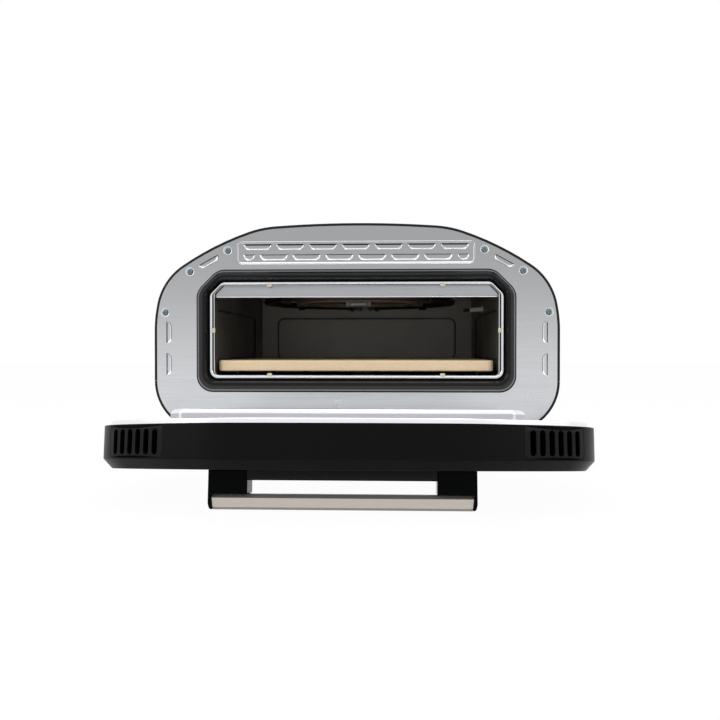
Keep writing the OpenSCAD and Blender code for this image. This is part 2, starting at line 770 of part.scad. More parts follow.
module centre_bracket() color("#8a8a88") at_bracket() {
    claw = bracket_half - bracket_claw[0] / 2;
    slab([-bracket_half, bracket_half], [-bracket_t, 0], [-bracket_h / 2, bracket_h / 2]);
    for (s = [-1, 1]) slab([s * claw - bracket_claw[0] / 2, s * claw + bracket_claw[0] / 2],
        [-bracket_t - bracket_claw[1], eps - bracket_t], [-bracket_claw[2] / 2, bracket_claw[2] / 2]);
    slab([-bracket_stem, bracket_stem], [-bracket_t, 0],
        [bracket_h / 2 - eps, ceiling_z - upper_z]);
}
module centre_sensor() color("#9aa6b4") at_bracket()
    translate([0, -bracket_t - sensor_r, sensor_r - bracket_h / 2]) rod_x(sensor_r, sensor_w);
module probe_line(r, x0, len) translate([cavity_half, probe_y, probe_z])
    rotate([0, -probe_tilt, 0]) translate([-x0 - len / 2, 0, 0]) rod_x(r, len);
module probe_sleeve() color("#cfc8b8") in_body()
    probe_line(probe_r, -probe_tail_l, probe_sleeve_l + probe_tail_l);
module probe_tip() color("#55504a") in_body()
    probe_line(probe_r - probe_step, probe_sleeve_l, probe_tip_l);

// Stone and its rails
module pizza_stone() color("#e0ccac") in_body() translate([-stone_w / 2, stone_y, rail_top]) {
    translate([0, 0, stone_edge]) linear_extrude(stone_t - 2 * stone_edge) stone_plan(0);
    linear_extrude(stone_t) stone_plan(stone_edge);
}
module stone_plan(inset) {
    r = stone_corner_r - inset;
    translate([inset, inset]) {
        w = stone_w - 2 * inset;
        translate([r, 0]) square([w - 2 * r, w]);
        translate([0, r]) square([w, w - 2 * r]);
        for (x = [r, w - r], y = [r, w - r]) translate([x, y]) circle(r);
    }
}
module stone_rails() color("#55544f") in_body() both_sides() {
    slab([rail_in, rail_out], rail_y, [floor_z, floor_z + rail_t]);
    slab([rail_in, rail_in + rail_t], rail_y, [floor_z, rail_top]);
    slab([rail_in, rail_out], rail_y, [rail_top - rail_t, rail_top]);
    slab([rail_in, rail_out], [stone_y + stone_w + gap, rail_y[1]],
        [rail_top - rail_t, rail_top + rail_stop_h]);
}

// Insulation and supports
module insulation_blankets() color("#d8d4c4") in_body() {
    side_in = cavity_half + liner_t + emboss_t + gap;
    top_in = ceiling_z + liner_t;
    slab([-side_in, side_in], blanket_y, [top_in, top_in + blanket_t]);
    slab([-side_in, side_in], blanket_y, [floor_pad_lo, floor_z - liner_t]);
    difference() {
        both_sides() slab([side_in, side_in + blanket_t], blanket_y, [floor_z, ceiling_z - 12]);
        probe_line(probe_r + 2, -2 * blanket_t, 3 * blanket_t);
    }
    difference() {
        slab([-cavity_half, cavity_half], back_pad_y, [floor_z, ceiling_z]);
        at_tails() rod_y(tube_d / 2 + tail_step + gap, back_pad_y[0] - 1, back_pad_y[1] + 1);
    }
}
module liner_supports() color("#8d8f90") in_body() for (y = support_y) {
    x = [-support_half, support_half];
    slab(x, [y - support_w / 2, y + support_w / 2], [floor_pad_lo - shell_t, floor_pad_lo]);
    for (s = [-support_w / 2, support_w / 2 - shell_t])
        slab(x, [y + s, y + s + shell_t], [shell_t, floor_pad_lo]);
}

// Stand
module plinth() color("#1c1c1e") in_body() difference() {
    slab([-plinth_half, plinth_half], plinth_y, [-plinth_h, 0]);
    slab([-plinth_half + plinth_t, plinth_half - plinth_t],
        [plinth_y[0] + plinth_t, plinth_y[1] - plinth_t], [-plinth_h + plinth_t, 1]);
    at_feet() translate([0, 0, -1]) cylinder(r = screw_d / 2 + run_fit, h = plinth_t + 2);
    at_hinges() hinge_holes(hinge_back - 1, hinge_back + plinth_t + 1);
}
module at_feet() for (x = [-foot_x, foot_x], y = foot_y) translate([x, y, -plinth_h]) children();
module feet() color("#101010") in_body() at_feet() translate([0, 0, -foot_h]) difference() {
    union() {
        cylinder(r1 = foot_r - foot_lip, r2 = foot_r, h = foot_lip_h);
        translate([0, 0, foot_lip_h]) cylinder(r = foot_r, h = foot_h - foot_lip_h);
    }
    translate([0, 0, foot_h - foot_bore]) cylinder(r = screw_d / 2 + run_fit, h = foot_bore + eps);
}
module foot_screws() color("#8d9094") in_body() at_feet() {
    translate([0, 0, -foot_screw_l]) cylinder(r = screw_d / 2, h = foot_screw_l + plinth_t);
    translate([0, 0, plinth_t]) cylinder(r = screw_head_d / 2, h = foot_head_t);
}
module at_hinges() for (s = [-1, 1]) translate([s * hinge_x, hinge_y, hinge_z]) children();
module hinge_holes(y0, y1) for (x = [-hinge_screw_x, hinge_screw_x])
    translate([x, 0, hinge_plate_lo + hinge_screw_rise]) rod_y(screw_d / 2 + run_fit, y0, y1);
module hinge_brackets() color("#2a2b2d") in_body() at_hinges() {
    for (s = [-1, 1]) translate([s * arm_x, 0, 0]) difference() {
        union() {
            rod_x(hinge_r, arm_t);
            along_x(arm_t) polygon([[0, -hinge_r], [hinge_back, -hinge_r - arm_root],
                [hinge_back, hinge_r], [0, hinge_r]]);
        }
        rod_x(hinge_pin_d / 2 + run_fit, arm_t + 1);
    }
    difference() {
        slab([-hinge_plate_half, hinge_plate_half], [hinge_back - hinge_plate_t, hinge_back],
            [hinge_plate_lo, hinge_r]);
        hinge_holes(hinge_back - hinge_plate_t - 1, hinge_back + 1);
    }
    slab([-arm_x, arm_x], [stop_plate_y, hinge_back - 1], [stop_plate_z, hinge_r]);
}
module hinge_pins() color("#b8bcc0") in_body() at_hinges()
    rod_x(hinge_pin_d / 2, 2 * arm_x + arm_t + 2 * pin_over);

// Cooling fan, power inlet and electrics behind the cavity
module fan_corners() for (x = [-1, 1], z = [-1, 1])
    translate((fan_w / 2 - fan_corner) * [x, 0, z]) children();
module fan_frame() color("#202124") in_body() translate([fan_x, 0, fan_z]) {
    difference() {
        slab([-fan_w / 2, fan_w / 2], [fan_y, fan_y + fan_t], [-fan_w / 2, fan_w / 2]);
        rod_y(fan_r, fan_y - 1, fan_y + fan_t + 1);
        fan_corners() rod_y(fan_screw_r + run_fit, fan_y - 1, fan_y + fan_t + 1);
    }
    difference() {
        union() {
            rod_y(hub_r, fan_y, fan_y + spider_t);
            for (a = spider_turns) rotate([0, a, 0]) slab([-spider_w / 2, spider_w / 2],
                [fan_y, fan_y + spider_t], [hub_r - 1, fan_r + 1]);
        }
        rod_y(spindle_r + run_fit, fan_y - 1, fan_y + spider_t + 1);
    }
}
module fan_screws() color("#303236") in_body() translate([fan_x, 0, fan_z]) fan_corners() {
    rod_y(fan_screw_r, fan_y + 1, body_d);
    rod_y(fan_head_r, body_d, body_d + fan_head_t);
}
module fan_rotor() color("#18191b") in_body() translate([fan_x, 0, fan_z]) {
    hub_y = [fan_y + spider_t + 2 * gap, fan_y + fan_t - 1];
    rod_y(spindle_r, fan_y + gap, hub_y[0] + 1);
    rod_y(hub_r, hub_y[0], hub_y[1]);
    for (k = [0:fan_blades - 1]) rotate([0, k * 360 / fan_blades, 0])
        translate([0, (hub_y[0] + hub_y[1]) / 2, hub_r - 2]) rotate([0, 0, blade_turn])
            translate([-blade_w / 2, -blade_t / 2, 0]) cube([blade_w, blade_t, fan_r - hub_r]);
}
module at_pins() translate([inlet_x, 0, inlet_z]) for (x = [-pin_x, 0, pin_x])
    translate([x, 0, x == 0 ? pin_z[1] : pin_z[0]]) children();
module power_inlet() color("#151516") in_body() difference() {
    translate([inlet_x, 0, inlet_z]) difference() {
        union() {
            slab([-inlet_w / 2 - inlet_lip[0], inlet_w / 2 + inlet_lip[0]],
                [body_d, body_d + inlet_lip_t],
                [-inlet_h / 2 - inlet_lip[1], inlet_h / 2 + inlet_lip[1]]);
            slab([-inlet_w / 2, inlet_w / 2], [body_d - socket_d - inlet_base, body_d + eps],
                [-inlet_h / 2, inlet_h / 2]);
        }
        slab([-socket_half[0], socket_half[0]], [body_d - socket_d, body_d + inlet_lip_t + 1],
            [-socket_half[1], socket_half[1]]);
    }
    at_pins() rod_y(pin_r + run_fit, body_d - socket_d - inlet_base - 1, body_d - socket_d + 1);
}
module inlet_pins() color("#c9b27a") in_body() at_pins()
    rod_y(pin_r, body_d - socket_d - inlet_base - pin_tail, body_d - pin_in);
module power_board() color("#2f5a3c") in_body() translate([0, back_pad_y[1], 0]) {
    top = board_stand + circuit_t;
    slab(board_x, [board_stand, top], board_z);
    for (x = board_x + board_inset[0] * [1, -1], z = board_z + board_inset[1] * [1, -1])
        translate([x, 0, z]) rod_y(post_r, 0, board_stand + eps);
    for (b = [transformer, relay]) slab([b[0], b[1]], [top - eps, top + b[4]], [b[2], b[3]]);
}
module thermal_cutouts() color("#d8d2c2") in_body() for (x = cutout_x)
    translate([x, back_pad_y[1], cutout_z]) {
        rod_y(cutout_r, 0, cutout_h);
        slab([-cutout_ear[0], cutout_ear[0]], [0, cutout_ear[1]], [-cutout_ear[2], cutout_ear[2]]);
    }

// Door
module door_form(inset) {
    deep(wall_end, rim_plane) outline(inset - door_over);
    hull() {
        deep(wall_end, wall_end + eps) outline(inset - door_over);
        deep(face_out + inset, face_out + inset + eps)
            outline(door_bevel_w - door_over + inset * 0.6);
    }
}
module vent_zone(grow) {
    p = spot(vent_mid_turn, 0);
    translate([0, rim_plane + eps, 0]) translate([p[0], -vent_panel_d / 2, p[1]])
        rotate([0, 90 - vent_mid_turn, 0]) cube([vent_panel_w + 2 * grow,
            vent_panel_d + 2 * grow + eps, vent_reach], center = true);
}
module door_shell() color("#161618") in_door() difference() {
    union() {
        difference() {
            door_form(0);
            door_form(door_t);
            deep(rim_plane - eps, rim_plane + 1) outline(door_t - door_over);
        }
        deep(face_in - eps, face_out + glass_t + glass_seat[2]) difference() {
            window_pocket(glass_seat[0]);
            window_pocket(-glass_seat[1]);
        }
        deep(rim_plane - door_t, rim_plane) band(door_t - door_over - eps, sheet_inset - gap);
    }
    both_sides() intersection() {
        vent_zone(0.2);
        deep(face_in, rim_plane + 1) band(-door_over - 1, door_t - door_over + 0.01);
    }
    deep(face_out - 1, face_out + glass_t + gap) window_pocket(0);
    deep(face_out - 1, face_in + 1) fascia_plan(0.2);
    at_hinges() slab([-lug_w / 2 - gap, lug_w / 2 + gap], [-hinge_r - gap, hinge_r + gap],
        [hinge_drop - door_over - 1, hinge_drop + door_t]);
    handle_bolts(run_fit);
}
module window_pocket(grow) panel_box(outer_glass_out[0] + grow, outer_glass_out[1] - grow,
    outer_glass_out[2] + grow, glass_corner_r + grow);
module fascia_plan(grow) translate([0, fascia_z]) panel_box(fascia_half + grow,
    -fascia_h / 2 - grow, fascia_h / 2 + grow, fascia_corner_r + grow);
module outer_glass() color("#101214", 0.8) in_door() deep(face_out, face_out + glass_t)
    window_pocket(-gap);
module door_vents() color("#161618") in_door() both_sides() difference() {
    intersection() {
        vent_zone(0);
        deep(face_in, rim_plane) band(-door_over, door_t - door_over);
    }
    vent_cuts();
}
module vent_cuts() {
    p = spot(vent_mid_turn, 0);
    translate([p[0], rim_plane, p[1]]) rotate([0, 90 - vent_mid_turn, 0])
        for (k = [0:vent_slots - 1]) {
            r = vent_slot_w / 2;
            ends = [-vent_slot_d[1] + r, -vent_slot_d[0] - r];
            translate([(k - (vent_slots - 1) / 2) * vent_slot_pitch, 0, 0]) {
                slab([-r, r], ends, [-vent_reach, vent_reach] / 2);
                for (y = ends) translate([0, y, 0]) cylinder(r = r, h = vent_reach, center = true);
            }
        }
}
module door_inner_panel() color("#dfe2e4") in_door() difference() {
    union() {
        deep(sheet_y - sheet_t, sheet_y) outline(sheet_inset);
        deep(rim_plane - hem_back, sheet_y - eps) band(sheet_inset, sheet_inset + sheet_t);
        deep(sheet_y - eps, plug_y - plug_ease) mouth(plug_out);
        funnel(plug_out, grown(plug_out, -plug_ease), plug_y - plug_ease - eps, plug_y);
    }
    deep(sheet_y - 2 * sheet_t, plug_y - sheet_t) mouth(grown(plug_out, -plug_ease - sheet_t));
    deep(plug_y - 2 * sheet_t, plug_y + 1) inner_window(0);
}
module inner_window(grow) panel_box(window_half + grow, window_lo - grow, window_hi + grow,
    inner_corner_r + grow);
module inner_glass() color("#9fb0b4", 0.4) in_door()
    deep(plug_y - sheet_t - glass_t, plug_y - sheet_t) inner_window(inner_glass_over);
module door_insulation() color("#d8d4c4") in_door()
    deep(face_in + door_pad_gap, sheet_y - sheet_t - gap) difference() {
        panel_box(plug_half, plug_lo + 6, plug_hi + 4, glass_corner_r);
        inner_window(inner_glass_over + 1);
    }
module hinge_lugs() color("#2a2b2d") in_door() at_hinges() {
    side = [-lug_w / 2, lug_w / 2];
    pad_z = hinge_drop - door_over + door_t;
    difference() {
        union() {
            rod_x(hinge_r, lug_w);
            slab(side, [-hinge_r, hinge_r], [0, hinge_drop + door_t + lug_foot]);
            rotate([-open_angle, 0, 0]) slab(side, [0, heel_reach], [-hinge_r, stop_plate_z - gap]);
        }
        rod_x(hinge_pin_d / 2 + run_fit, lug_w + 1);
    }
    slab([-lug_pad_half, lug_pad_half], lug_pad_y, [pad_z, pad_z + lug_pad_t]);
}

// Handle, posts and their screws
module handle_bolts(grow) both_sides() translate([post_mid, 0, bar_lo + bar_h / 2])
    rod_y(bolt_r + grow, bar_back + bolt_in, face_in + 1);
module handle_plate() color("#161618") in_door() {
    r = plate_t / 2;
    z = [post_z[0] + r, post_z[1] + plate_over - r];
    slab([-post_in, post_in], [face_out - plate_t, face_out], z);
    slab([-post_in, post_in], [face_out - r, face_out], [z[0] - r, z[1] + r]);
    for (e = z) translate([0, face_out - r, e]) rod_x(r, 2 * post_in);
}
module handle_posts() color("#161618") in_door() difference() {
    both_sides() slab([post_in, post_out], [bar_front + bar_bevels[1], face_out], post_z);
    bar_room(run_fit);
    handle_bolts(run_fit);
}
module bar_room(grow) translate([0, bar_front, bar_lo]) slab([-bar_half - grow, bar_half + grow],
    [-1, bar_t + grow], [-post_over - 1, bar_h + post_over + 1]);
module handle_bar() color("#b5afa8") in_door() translate([0, bar_front, bar_lo])
    along_x(2 * bar_half) polygon([[0, bar_bevels[1]], [bar_bevels[1], 0],
        [bar_t - bar_bevels[0], 0], [bar_t, bar_bevels[0]], [bar_t, bar_h - bar_bevels[0]],
        [bar_t - bar_bevels[0], bar_h], [bar_bevels[1], bar_h], [0, bar_h - bar_bevels[1]]]);
module handle_screws() color("#8d9094") in_door() {
    handle_bolts(0);
    both_sides() translate([post_mid, 0, bar_lo + bar_h / 2])
        rod_y(bolt_head[0], face_in, face_in + bolt_head[1]);
}

// Controls
module control_fascia() color("#0d0d0f") in_door() difference() {
    union() {
        deep(face_out, face_out + fascia_t) fascia_plan(0);
        deep(face_in + eps, fascia_in) fascia_plan(fascia_lap);
    }
    deep(face_out - 1, fascia_in + 1) display_plan(0);
    for (x = button_x) translate([x, 0, fascia_z])
        rod_y(button_d / 2 + button_gap, face_out - 1, fascia_in + 1);
}
module display_plan(grow) translate([0, fascia_z]) panel_box(display_half + grow,
    -display_h / 2 - grow, display_h / 2 + grow, 3);
module display_lens() color("#05070a") in_door() {
    deep(face_out + display_fit, fascia_in + eps) display_plan(-display_fit);
    deep(fascia_in, fascia_in + 1) display_plan(display_flange);
}
module control_board() color("#2f5a3c") in_door() translate([0, 0, fascia_z]) {
    slab([control_inset - fascia_half, fascia_half - control_inset],
        [board_y, board_y + circuit_t], [-control_half_h, control_half_h]);
    slab([display_flange - display_half, display_half - display_flange],
        [fascia_in + 1, board_y + eps], [-control_half_h, control_half_h] / 2);
    for (x = button_x) slab([x - switch_half, x + switch_half],
        [board_y - switch_t, board_y + eps], [-switch_half, switch_half]);
    for (x = [-stand_at[0], stand_at[0]], z = [-stand_at[1], stand_at[1]]) translate([x, 0, z])
        rod_y(stand_r, fascia_in, board_y + eps);
}
module push_button(i) color("#3a3b3e") in_door() translate([button_x[i], 0, fascia_z]) {
    lip_y = fascia_in + gap;
    rod_y(button_d / 2, face_out - button_out, lip_y);
    rod_y(button_d / 2 + button_lip, lip_y, lip_y + button_lip_t);
    rod_y(stem_r, lip_y + button_lip_t, board_y - switch_t - button_travel - 2 * run_fit);
}
module button_power() push_button(0);
module button_light() push_button(1);
module button_minus() push_button(2);
module button_plus() push_button(3);

outer_shell();
base_pan();
rear_cover();
rear_screws();
face_panel();
face_screws();
bezel();
mouth_rim();
rim_clips();
heat_baffle();
cavity_floor();
cavity_ceiling();
cavity_left_wall();
cavity_right_wall();
cavity_back_wall();
upper_outer_element();
upper_inner_element();
lower_element();
element_hangers();
element_saddles();
element_bushings();
centre_bracket();
centre_sensor();
probe_sleeve();
probe_tip();
stone_rails();
pizza_stone();
insulation_blankets();
liner_supports();
plinth();
feet();
foot_screws();
hinge_brackets();
hinge_pins();
fan_frame();
fan_screws();
fan_rotor();
power_inlet();
inlet_pins();
power_board();
thermal_cutouts();
door_shell();
door_inner_panel();
door_vents();
outer_glass();
inner_glass();
door_insulation();
hinge_lugs();
handle_plate();
handle_posts();
handle_bar();
handle_screws();
control_fascia();
display_lens();
control_board();
button_power();
button_light();
button_minus();
button_plus();
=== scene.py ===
"""Countertop electric pizza oven with its drop-down door open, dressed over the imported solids."""

import logging
import math
from contextlib import contextmanager
from dataclasses import astuple, dataclass
from enum import Enum
from functools import cached_property
from typing import Iterable, Iterator, Protocol, Sequence

import bmesh
import bpy
from mathutils import Matrix, Vector
from mathutils.geometry import delaunay_2d_cdt


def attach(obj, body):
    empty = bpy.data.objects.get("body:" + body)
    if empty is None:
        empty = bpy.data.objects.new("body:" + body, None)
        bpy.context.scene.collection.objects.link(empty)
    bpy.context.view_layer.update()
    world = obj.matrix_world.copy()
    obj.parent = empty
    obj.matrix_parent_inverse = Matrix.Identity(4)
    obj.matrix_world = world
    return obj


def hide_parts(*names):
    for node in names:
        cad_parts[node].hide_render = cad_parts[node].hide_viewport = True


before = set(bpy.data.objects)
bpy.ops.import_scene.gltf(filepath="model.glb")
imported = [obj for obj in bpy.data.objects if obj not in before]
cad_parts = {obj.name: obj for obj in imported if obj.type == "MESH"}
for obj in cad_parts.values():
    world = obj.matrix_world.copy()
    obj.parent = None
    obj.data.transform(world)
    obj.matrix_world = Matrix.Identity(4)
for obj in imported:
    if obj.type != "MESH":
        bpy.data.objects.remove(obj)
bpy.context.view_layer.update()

logging.basicConfig(level=logging.INFO, format="%(message)s")
LOG = logging.getLogger("pizza_oven")

Point = tuple[float, float]
Loop = list[Point]
MM = 0.001
UP = Vector((0.0, 0.0, 1.0))
PRESS_Y = 0.1
FACE_Y = -79.5776
STAND_H = 48.0
HINGE = Vector((0.0, -16.0, -7.9))
OPEN_ANGLE = math.radians(82.37)
SHARP_ANGLE = math.radians(34.0)


class Space(Enum):
    """The two sets of millimetres in which pieces are drawn."""

    BODY = "body"
    DOOR = "door"

    def matrix(self) -> Matrix:
        """Give the change from this space to the row frame.

        Returns:
            The matrix that takes drawn millimetres to metres in the row frame.
        """
        place = Matrix.Translation((0.0, FACE_Y, STAND_H))
        if self is Space.DOOR:
            swing = Matrix.Rotation(OPEN_ANGLE, 4, "X")
            place = place @ Matrix.Translation(HINGE) @ swing @ Matrix.Translation(-HINGE)
        return Matrix.Scale(MM, 4) @ place


class Outline(Protocol):
    """Anything that draws a closed outline."""

    def loop(self, grow: float = 0.0) -> Loop:
        """Draw the outline, moved outwards by grow."""


class Plane(Enum):
    """Which axes an outline is drawn in: its two own axes, then its depth."""

    FRONT = (0, 2, 1)
    PLAN = (0, 1, 2)
    SIDE = (1, 2, 0)

    def point(self, a: float, b: float, depth: float) -> Vector:
        """Place one point of an outline.

        Args:
            a: First coordinate in the outline.
            b: Second coordinate in the outline.
            depth: Distance along the plane's own normal.

        Returns:
            The point in drawn millimetres.
        """
        spot = [0.0, 0.0, 0.0]
        for axis, value in zip(self.value, (a, b, depth)):
            spot[axis] = value
        return Vector(spot)


def turned(v: Vector, angle: float) -> Vector:
    """Turn a flat vector anticlockwise by an angle in radians."""
    c, s = math.cos(angle), math.sin(angle)
    return Vector((c * v.x - s * v.y, s * v.x + c * v.y))


@dataclass(frozen=True)
class Shape:
    """A polygon drawn anticlockwise whose corners are rounded, each by its own radius."""

    corners: tuple[tuple[float, float, float], ...]
    steps: int = 6

    def loop(self, grow: float = 0.0) -> Loop:
        """Draw the outline.

        Args:
            grow: How far the outline is moved outwards.

        Returns:
            The points of the closed outline, always as many.
        """
        points = []
        count = len(self.corners)
        for i, (x, z, r) in enumerate(self.corners):
            here = Vector((x, z))
            last = Vector(self.corners[i - 1][:2])
            following = Vector(self.corners[(i + 1) % count][:2])
            into, out = (here - last).normalized(), (following - here).normalized()
            bend = math.atan2(into.x * out.y - into.y * out.x, into.dot(out))
            side = 1.0 if bend > 0.0 else -1.0
            normal, leaving = Vector((into.y, -into.x)), Vector((out.y, -out.x))
            moved = here + (normal + leaving) * (grow / (1.0 + normal.dot(leaving)))
            radius = max(r + side * grow, 0.05)
            start = moved - into * (radius * math.tan(abs(bend) / 2.0))
            centre = start - normal * (side * radius)
            for k in range(self.steps + 1):
                spoke = turned(normal, bend * k / self.steps) * (side * radius)
                points.append((centre.x + spoke.x, centre.y + spoke.y))
        return points

    def moved(self, dx: float, dz: float, turn: float = 0.0) -> "Shape":
        """Turn the shape about its own origin, then move it.

        Args:
            dx: Move along the first axis.
            dz: Move along the second axis.
            turn: Turn in degrees, anticlockwise.

        Returns:
            The placed shape.
        """
        angle = math.radians(turn)
        spots = [(turned(Vector((x, z)), angle), r) for x, z, r in self.corners]
        return Shape(tuple((p.x + dx, p.y + dz, r) for p, r in spots), self.steps)


def spokes(sides: int) -> list[float]:
    """List evenly spaced headings round a circle, in radians."""
    return [2.0 * math.pi * k / sides for k in range(sides)]


def panel(half: float, lo: float, hi: float, r: float, steps: int = 6) -> Shape:
    """Draw a rounded rectangle of a half width about the middle line, between two edges."""
    return Shape(((-half, lo, r), (half, lo, r), (half, hi, r), (-half, hi, r)), steps)


def disc(x: float, z: float, r: float, sides: int = 32) -> Shape:
    """Draw a circle about a centre, as a square rounded all the way."""
    r_in = r - 0.001
    return panel(r, -r, r, r_in, max(sides // 4, 2)).moved(x, z)


@dataclass(frozen=True)
class Mouth:
    """The mouth's outline: chamfered above, rounded below."""

    half: float
    lo: float
    hi: float
    cut: float
    low_r: float
    cut_r: float = 9.0

    def loop(self, grow: float = 0.0) -> Loop:
        """Draw the outline.

        Args:
            grow: How far the outline is moved outwards.

        Returns:
            The points of the closed outline.
        """
        side, inner = self.half, self.half - self.cut
        corners = ((-side, self.lo, self.low_r), (side, self.lo, self.low_r),
                   (side, self.hi - self.cut, self.cut_r), (inner, self.hi, self.cut_r),
                   (-inner, self.hi, self.cut_r), (-side, self.hi - self.cut, self.cut_r))
        return Shape(corners, 8).loop(grow)

    def towards(self, other: "Mouth", share: float) -> "Mouth":
        """Mix this outline with a share of another one."""
        return Mouth(*(a + (b - a) * share for a, b in zip(astuple(self), astuple(other))))


BEAD_IN = Mouth(165.3, 64.1, 168.4, 11.5, 7.0, 4.0)
MOUTH_IN = Mouth(162.7, 64.4, 167.2, 9.0, 5.0, 2.0)
RIM_OUT = Mouth(169.2, 59.8, 172.3, 15.0, 10.0, 10.0)
BEZEL_OUT = Mouth(181.1, 45.4, 184.8, 24.5, 18.5, 20.0)
PLUG_OUT = Mouth(164.5, 62.0, 168.0, 12.0, 10.0, 8.0)


@dataclass
class BodyOutline:
    """The oven's front outline: round lower corners, leaning shoulders and a flat crown."""

    half_w: float = 230.0
    height: float = 237.0
    corner_r: float = 58.0
    radii: tuple[float, ...] = (153.0, 69.0, 327.0, 118.0)
    ends: tuple[float, ...] = (12.0, 56.0, 71.0, 86.0, 90.0)
    steps: tuple[int, ...] = (5, 16, 6, 5, 6)
    corner_steps: int = 16
    more_turns: tuple[float, ...] = ()

    @cached_property
    def arcs(self) -> list[tuple[Vector, float]]:
        """Give each arc's centre and radius, from the side up to the crown."""
        radii = list(self.radii)
        rads = [math.radians(e) for e in self.ends]
        brow = self.half_w - radii[0] + sum(
            (radii[i] - radii[i + 1]) * math.cos(rads[i]) for i in range(3))
        radii.append(radii[3] + brow / math.cos(rads[3]))
        side_top = self.height - radii[4] - sum(
            (radii[i] - radii[i + 1]) * math.sin(rads[i]) for i in range(4))
        centre = Vector((self.half_w - radii[0], side_top))
        arcs = [(centre, radii[0])]
        for i in range(4):
            step = radii[i] - radii[i + 1]
            centre = centre + Vector((math.cos(rads[i]), math.sin(rads[i]))) * step
            arcs.append((centre, radii[i + 1]))
        return arcs

    @cached_property
    def turns(self) -> list[float]:
        """Give the headings at which the right-hand side is sampled."""
        turns = [0.0]
        start = 0.0
        for end, steps in zip(self.ends, self.steps):
            turns += [start + (end - start) * k / steps for k in range(1, steps + 1)]
            start = end
        return sorted(turns + list(self.more_turns))

    def spot(self, turn: float, grow: float = 0.0) -> Vector:
        """Find the point of the right-hand side that faces a heading.

        Args:
            turn: Heading in degrees above the horizontal.
            grow: How far the outline is moved outwards.

        Returns:
            The point, across and up.
        """
        index = next(i for i, end in enumerate(self.ends) if turn <= end or end == 90.0)
        centre, radius = self.arcs[index]
        angle = math.radians(turn)
        return centre + Vector((math.cos(angle), math.sin(angle))) * (radius + grow)

    def over(self, turn: float, along: float, grow: float) -> Vector:
        """Find the point at a distance along the tangent at a heading in degrees."""
        return self.spot(self.turn_over(turn, along), grow)

    def turn_over(self, turn: float, along: float) -> float:
        """Find the heading of a point given by its distance along a tangent.

        Args:
            turn: Heading of the tangent in degrees.
            along: Distance along the tangent, up the side.

        Returns:
            The heading in degrees.
        """
        angle = math.radians(turn)
        tangent, base = Vector((-math.sin(angle), math.cos(angle))), self.spot(turn)
        low, high = 0.0, 90.0
        for _ in range(36):
            middle = (low + high) / 2.0
            if (self.spot(middle, 1.7) - base).dot(tangent) < along:
                low = middle
            else:
                high = middle
        return (low + high) / 2.0

    def corner(self, grow: float) -> Loop:
        """Draw the lower right-hand corner from the underside to the side.

        Args:
            grow: How far the outline is moved outwards.

        Returns:
            The points of the corner.
        """
        centre = Vector((self.half_w - self.corner_r, self.corner_r))
        quarter = math.pi / 2.0
        spots = []
        for k in range(self.corner_steps + 1):
            angle = -quarter + quarter * k / self.corner_steps
            spot = centre + Vector((math.cos(angle), math.sin(angle))) * (self.corner_r + grow)
            spots.append((spot.x, spot.y))
        return spots

    def upper(self, grow: float) -> Loop:
        """Draw the outline above the seam, from the right side over the crown.

        Args:
            grow: How far the outline is moved outwards.

        Returns:
            The points, ending at the left side.
        """
        right = [(self.half_w + grow, self.corner_r)]
        right += [tuple(self.spot(t, grow)) for t in self.turns]
        return right + [(-x, z) for x, z in reversed(right[:-1])]

    def lower(self, grow: float) -> Loop:
        """Draw the outline below the seam, from the left side under the base to the right."""
        right = self.corner(grow)
        return [(-x, z) for x, z in reversed(right)] + right

    def loop(self, grow: float = 0.0) -> Loop:
        """Draw the whole closed outline, moved outwards by grow."""
        return self.lower(grow) + self.upper(grow)[1:-1]


BODY = BodyOutline()
VENT_TURN = 59.0
DOOR_OVER = 1.7
VENT_HALF = 34.0
VENT_ROOM = 37.0


def soften(profile: Sequence[Point], radius: float, steps: int = 4) -> list[Point]:
    """Round the inner corners of an open profile.

    Args:
        profile: Points of the profile.
        radius: Largest rounding radius.
        steps: Steps round each corner.

    Returns:
        The softened profile.
    """
    result = [profile[0]]
    for last, here, following in zip(profile, profile[1:], profile[2:]):
        a, b, c = Vector(last), Vector(here), Vector(following)
        reach = min(radius, (b - a).length * 0.49, (c - b).length * 0.49)
        start, end = b + (a - b).normalized() * reach, b + (c - b).normalized() * reach
        for k in range(steps + 1):
            t = k / steps
            spot = start * (1.0 - t) ** 2 + b * (2.0 * t * (1.0 - t)) + end * t ** 2
            result.append((spot.x, spot.y))
    result.append(profile[-1])
    return result


def inside(spot: Point, loop: Loop) -> bool:
    """Tell whether a point lies inside a closed loop.

    Args:
        spot: The point.
        loop: The loop.

    Returns:
        True when it does.
    """
    x, z = spot
    hit = False
    for (x0, z0), (x1, z1) in zip(loop, loop[1:] + loop[:1]):
        if (z0 > z) != (z1 > z) and x < (x1 - x0) * (z - z0) / (z1 - z0) + x0:
            hit = not hit
    return hit


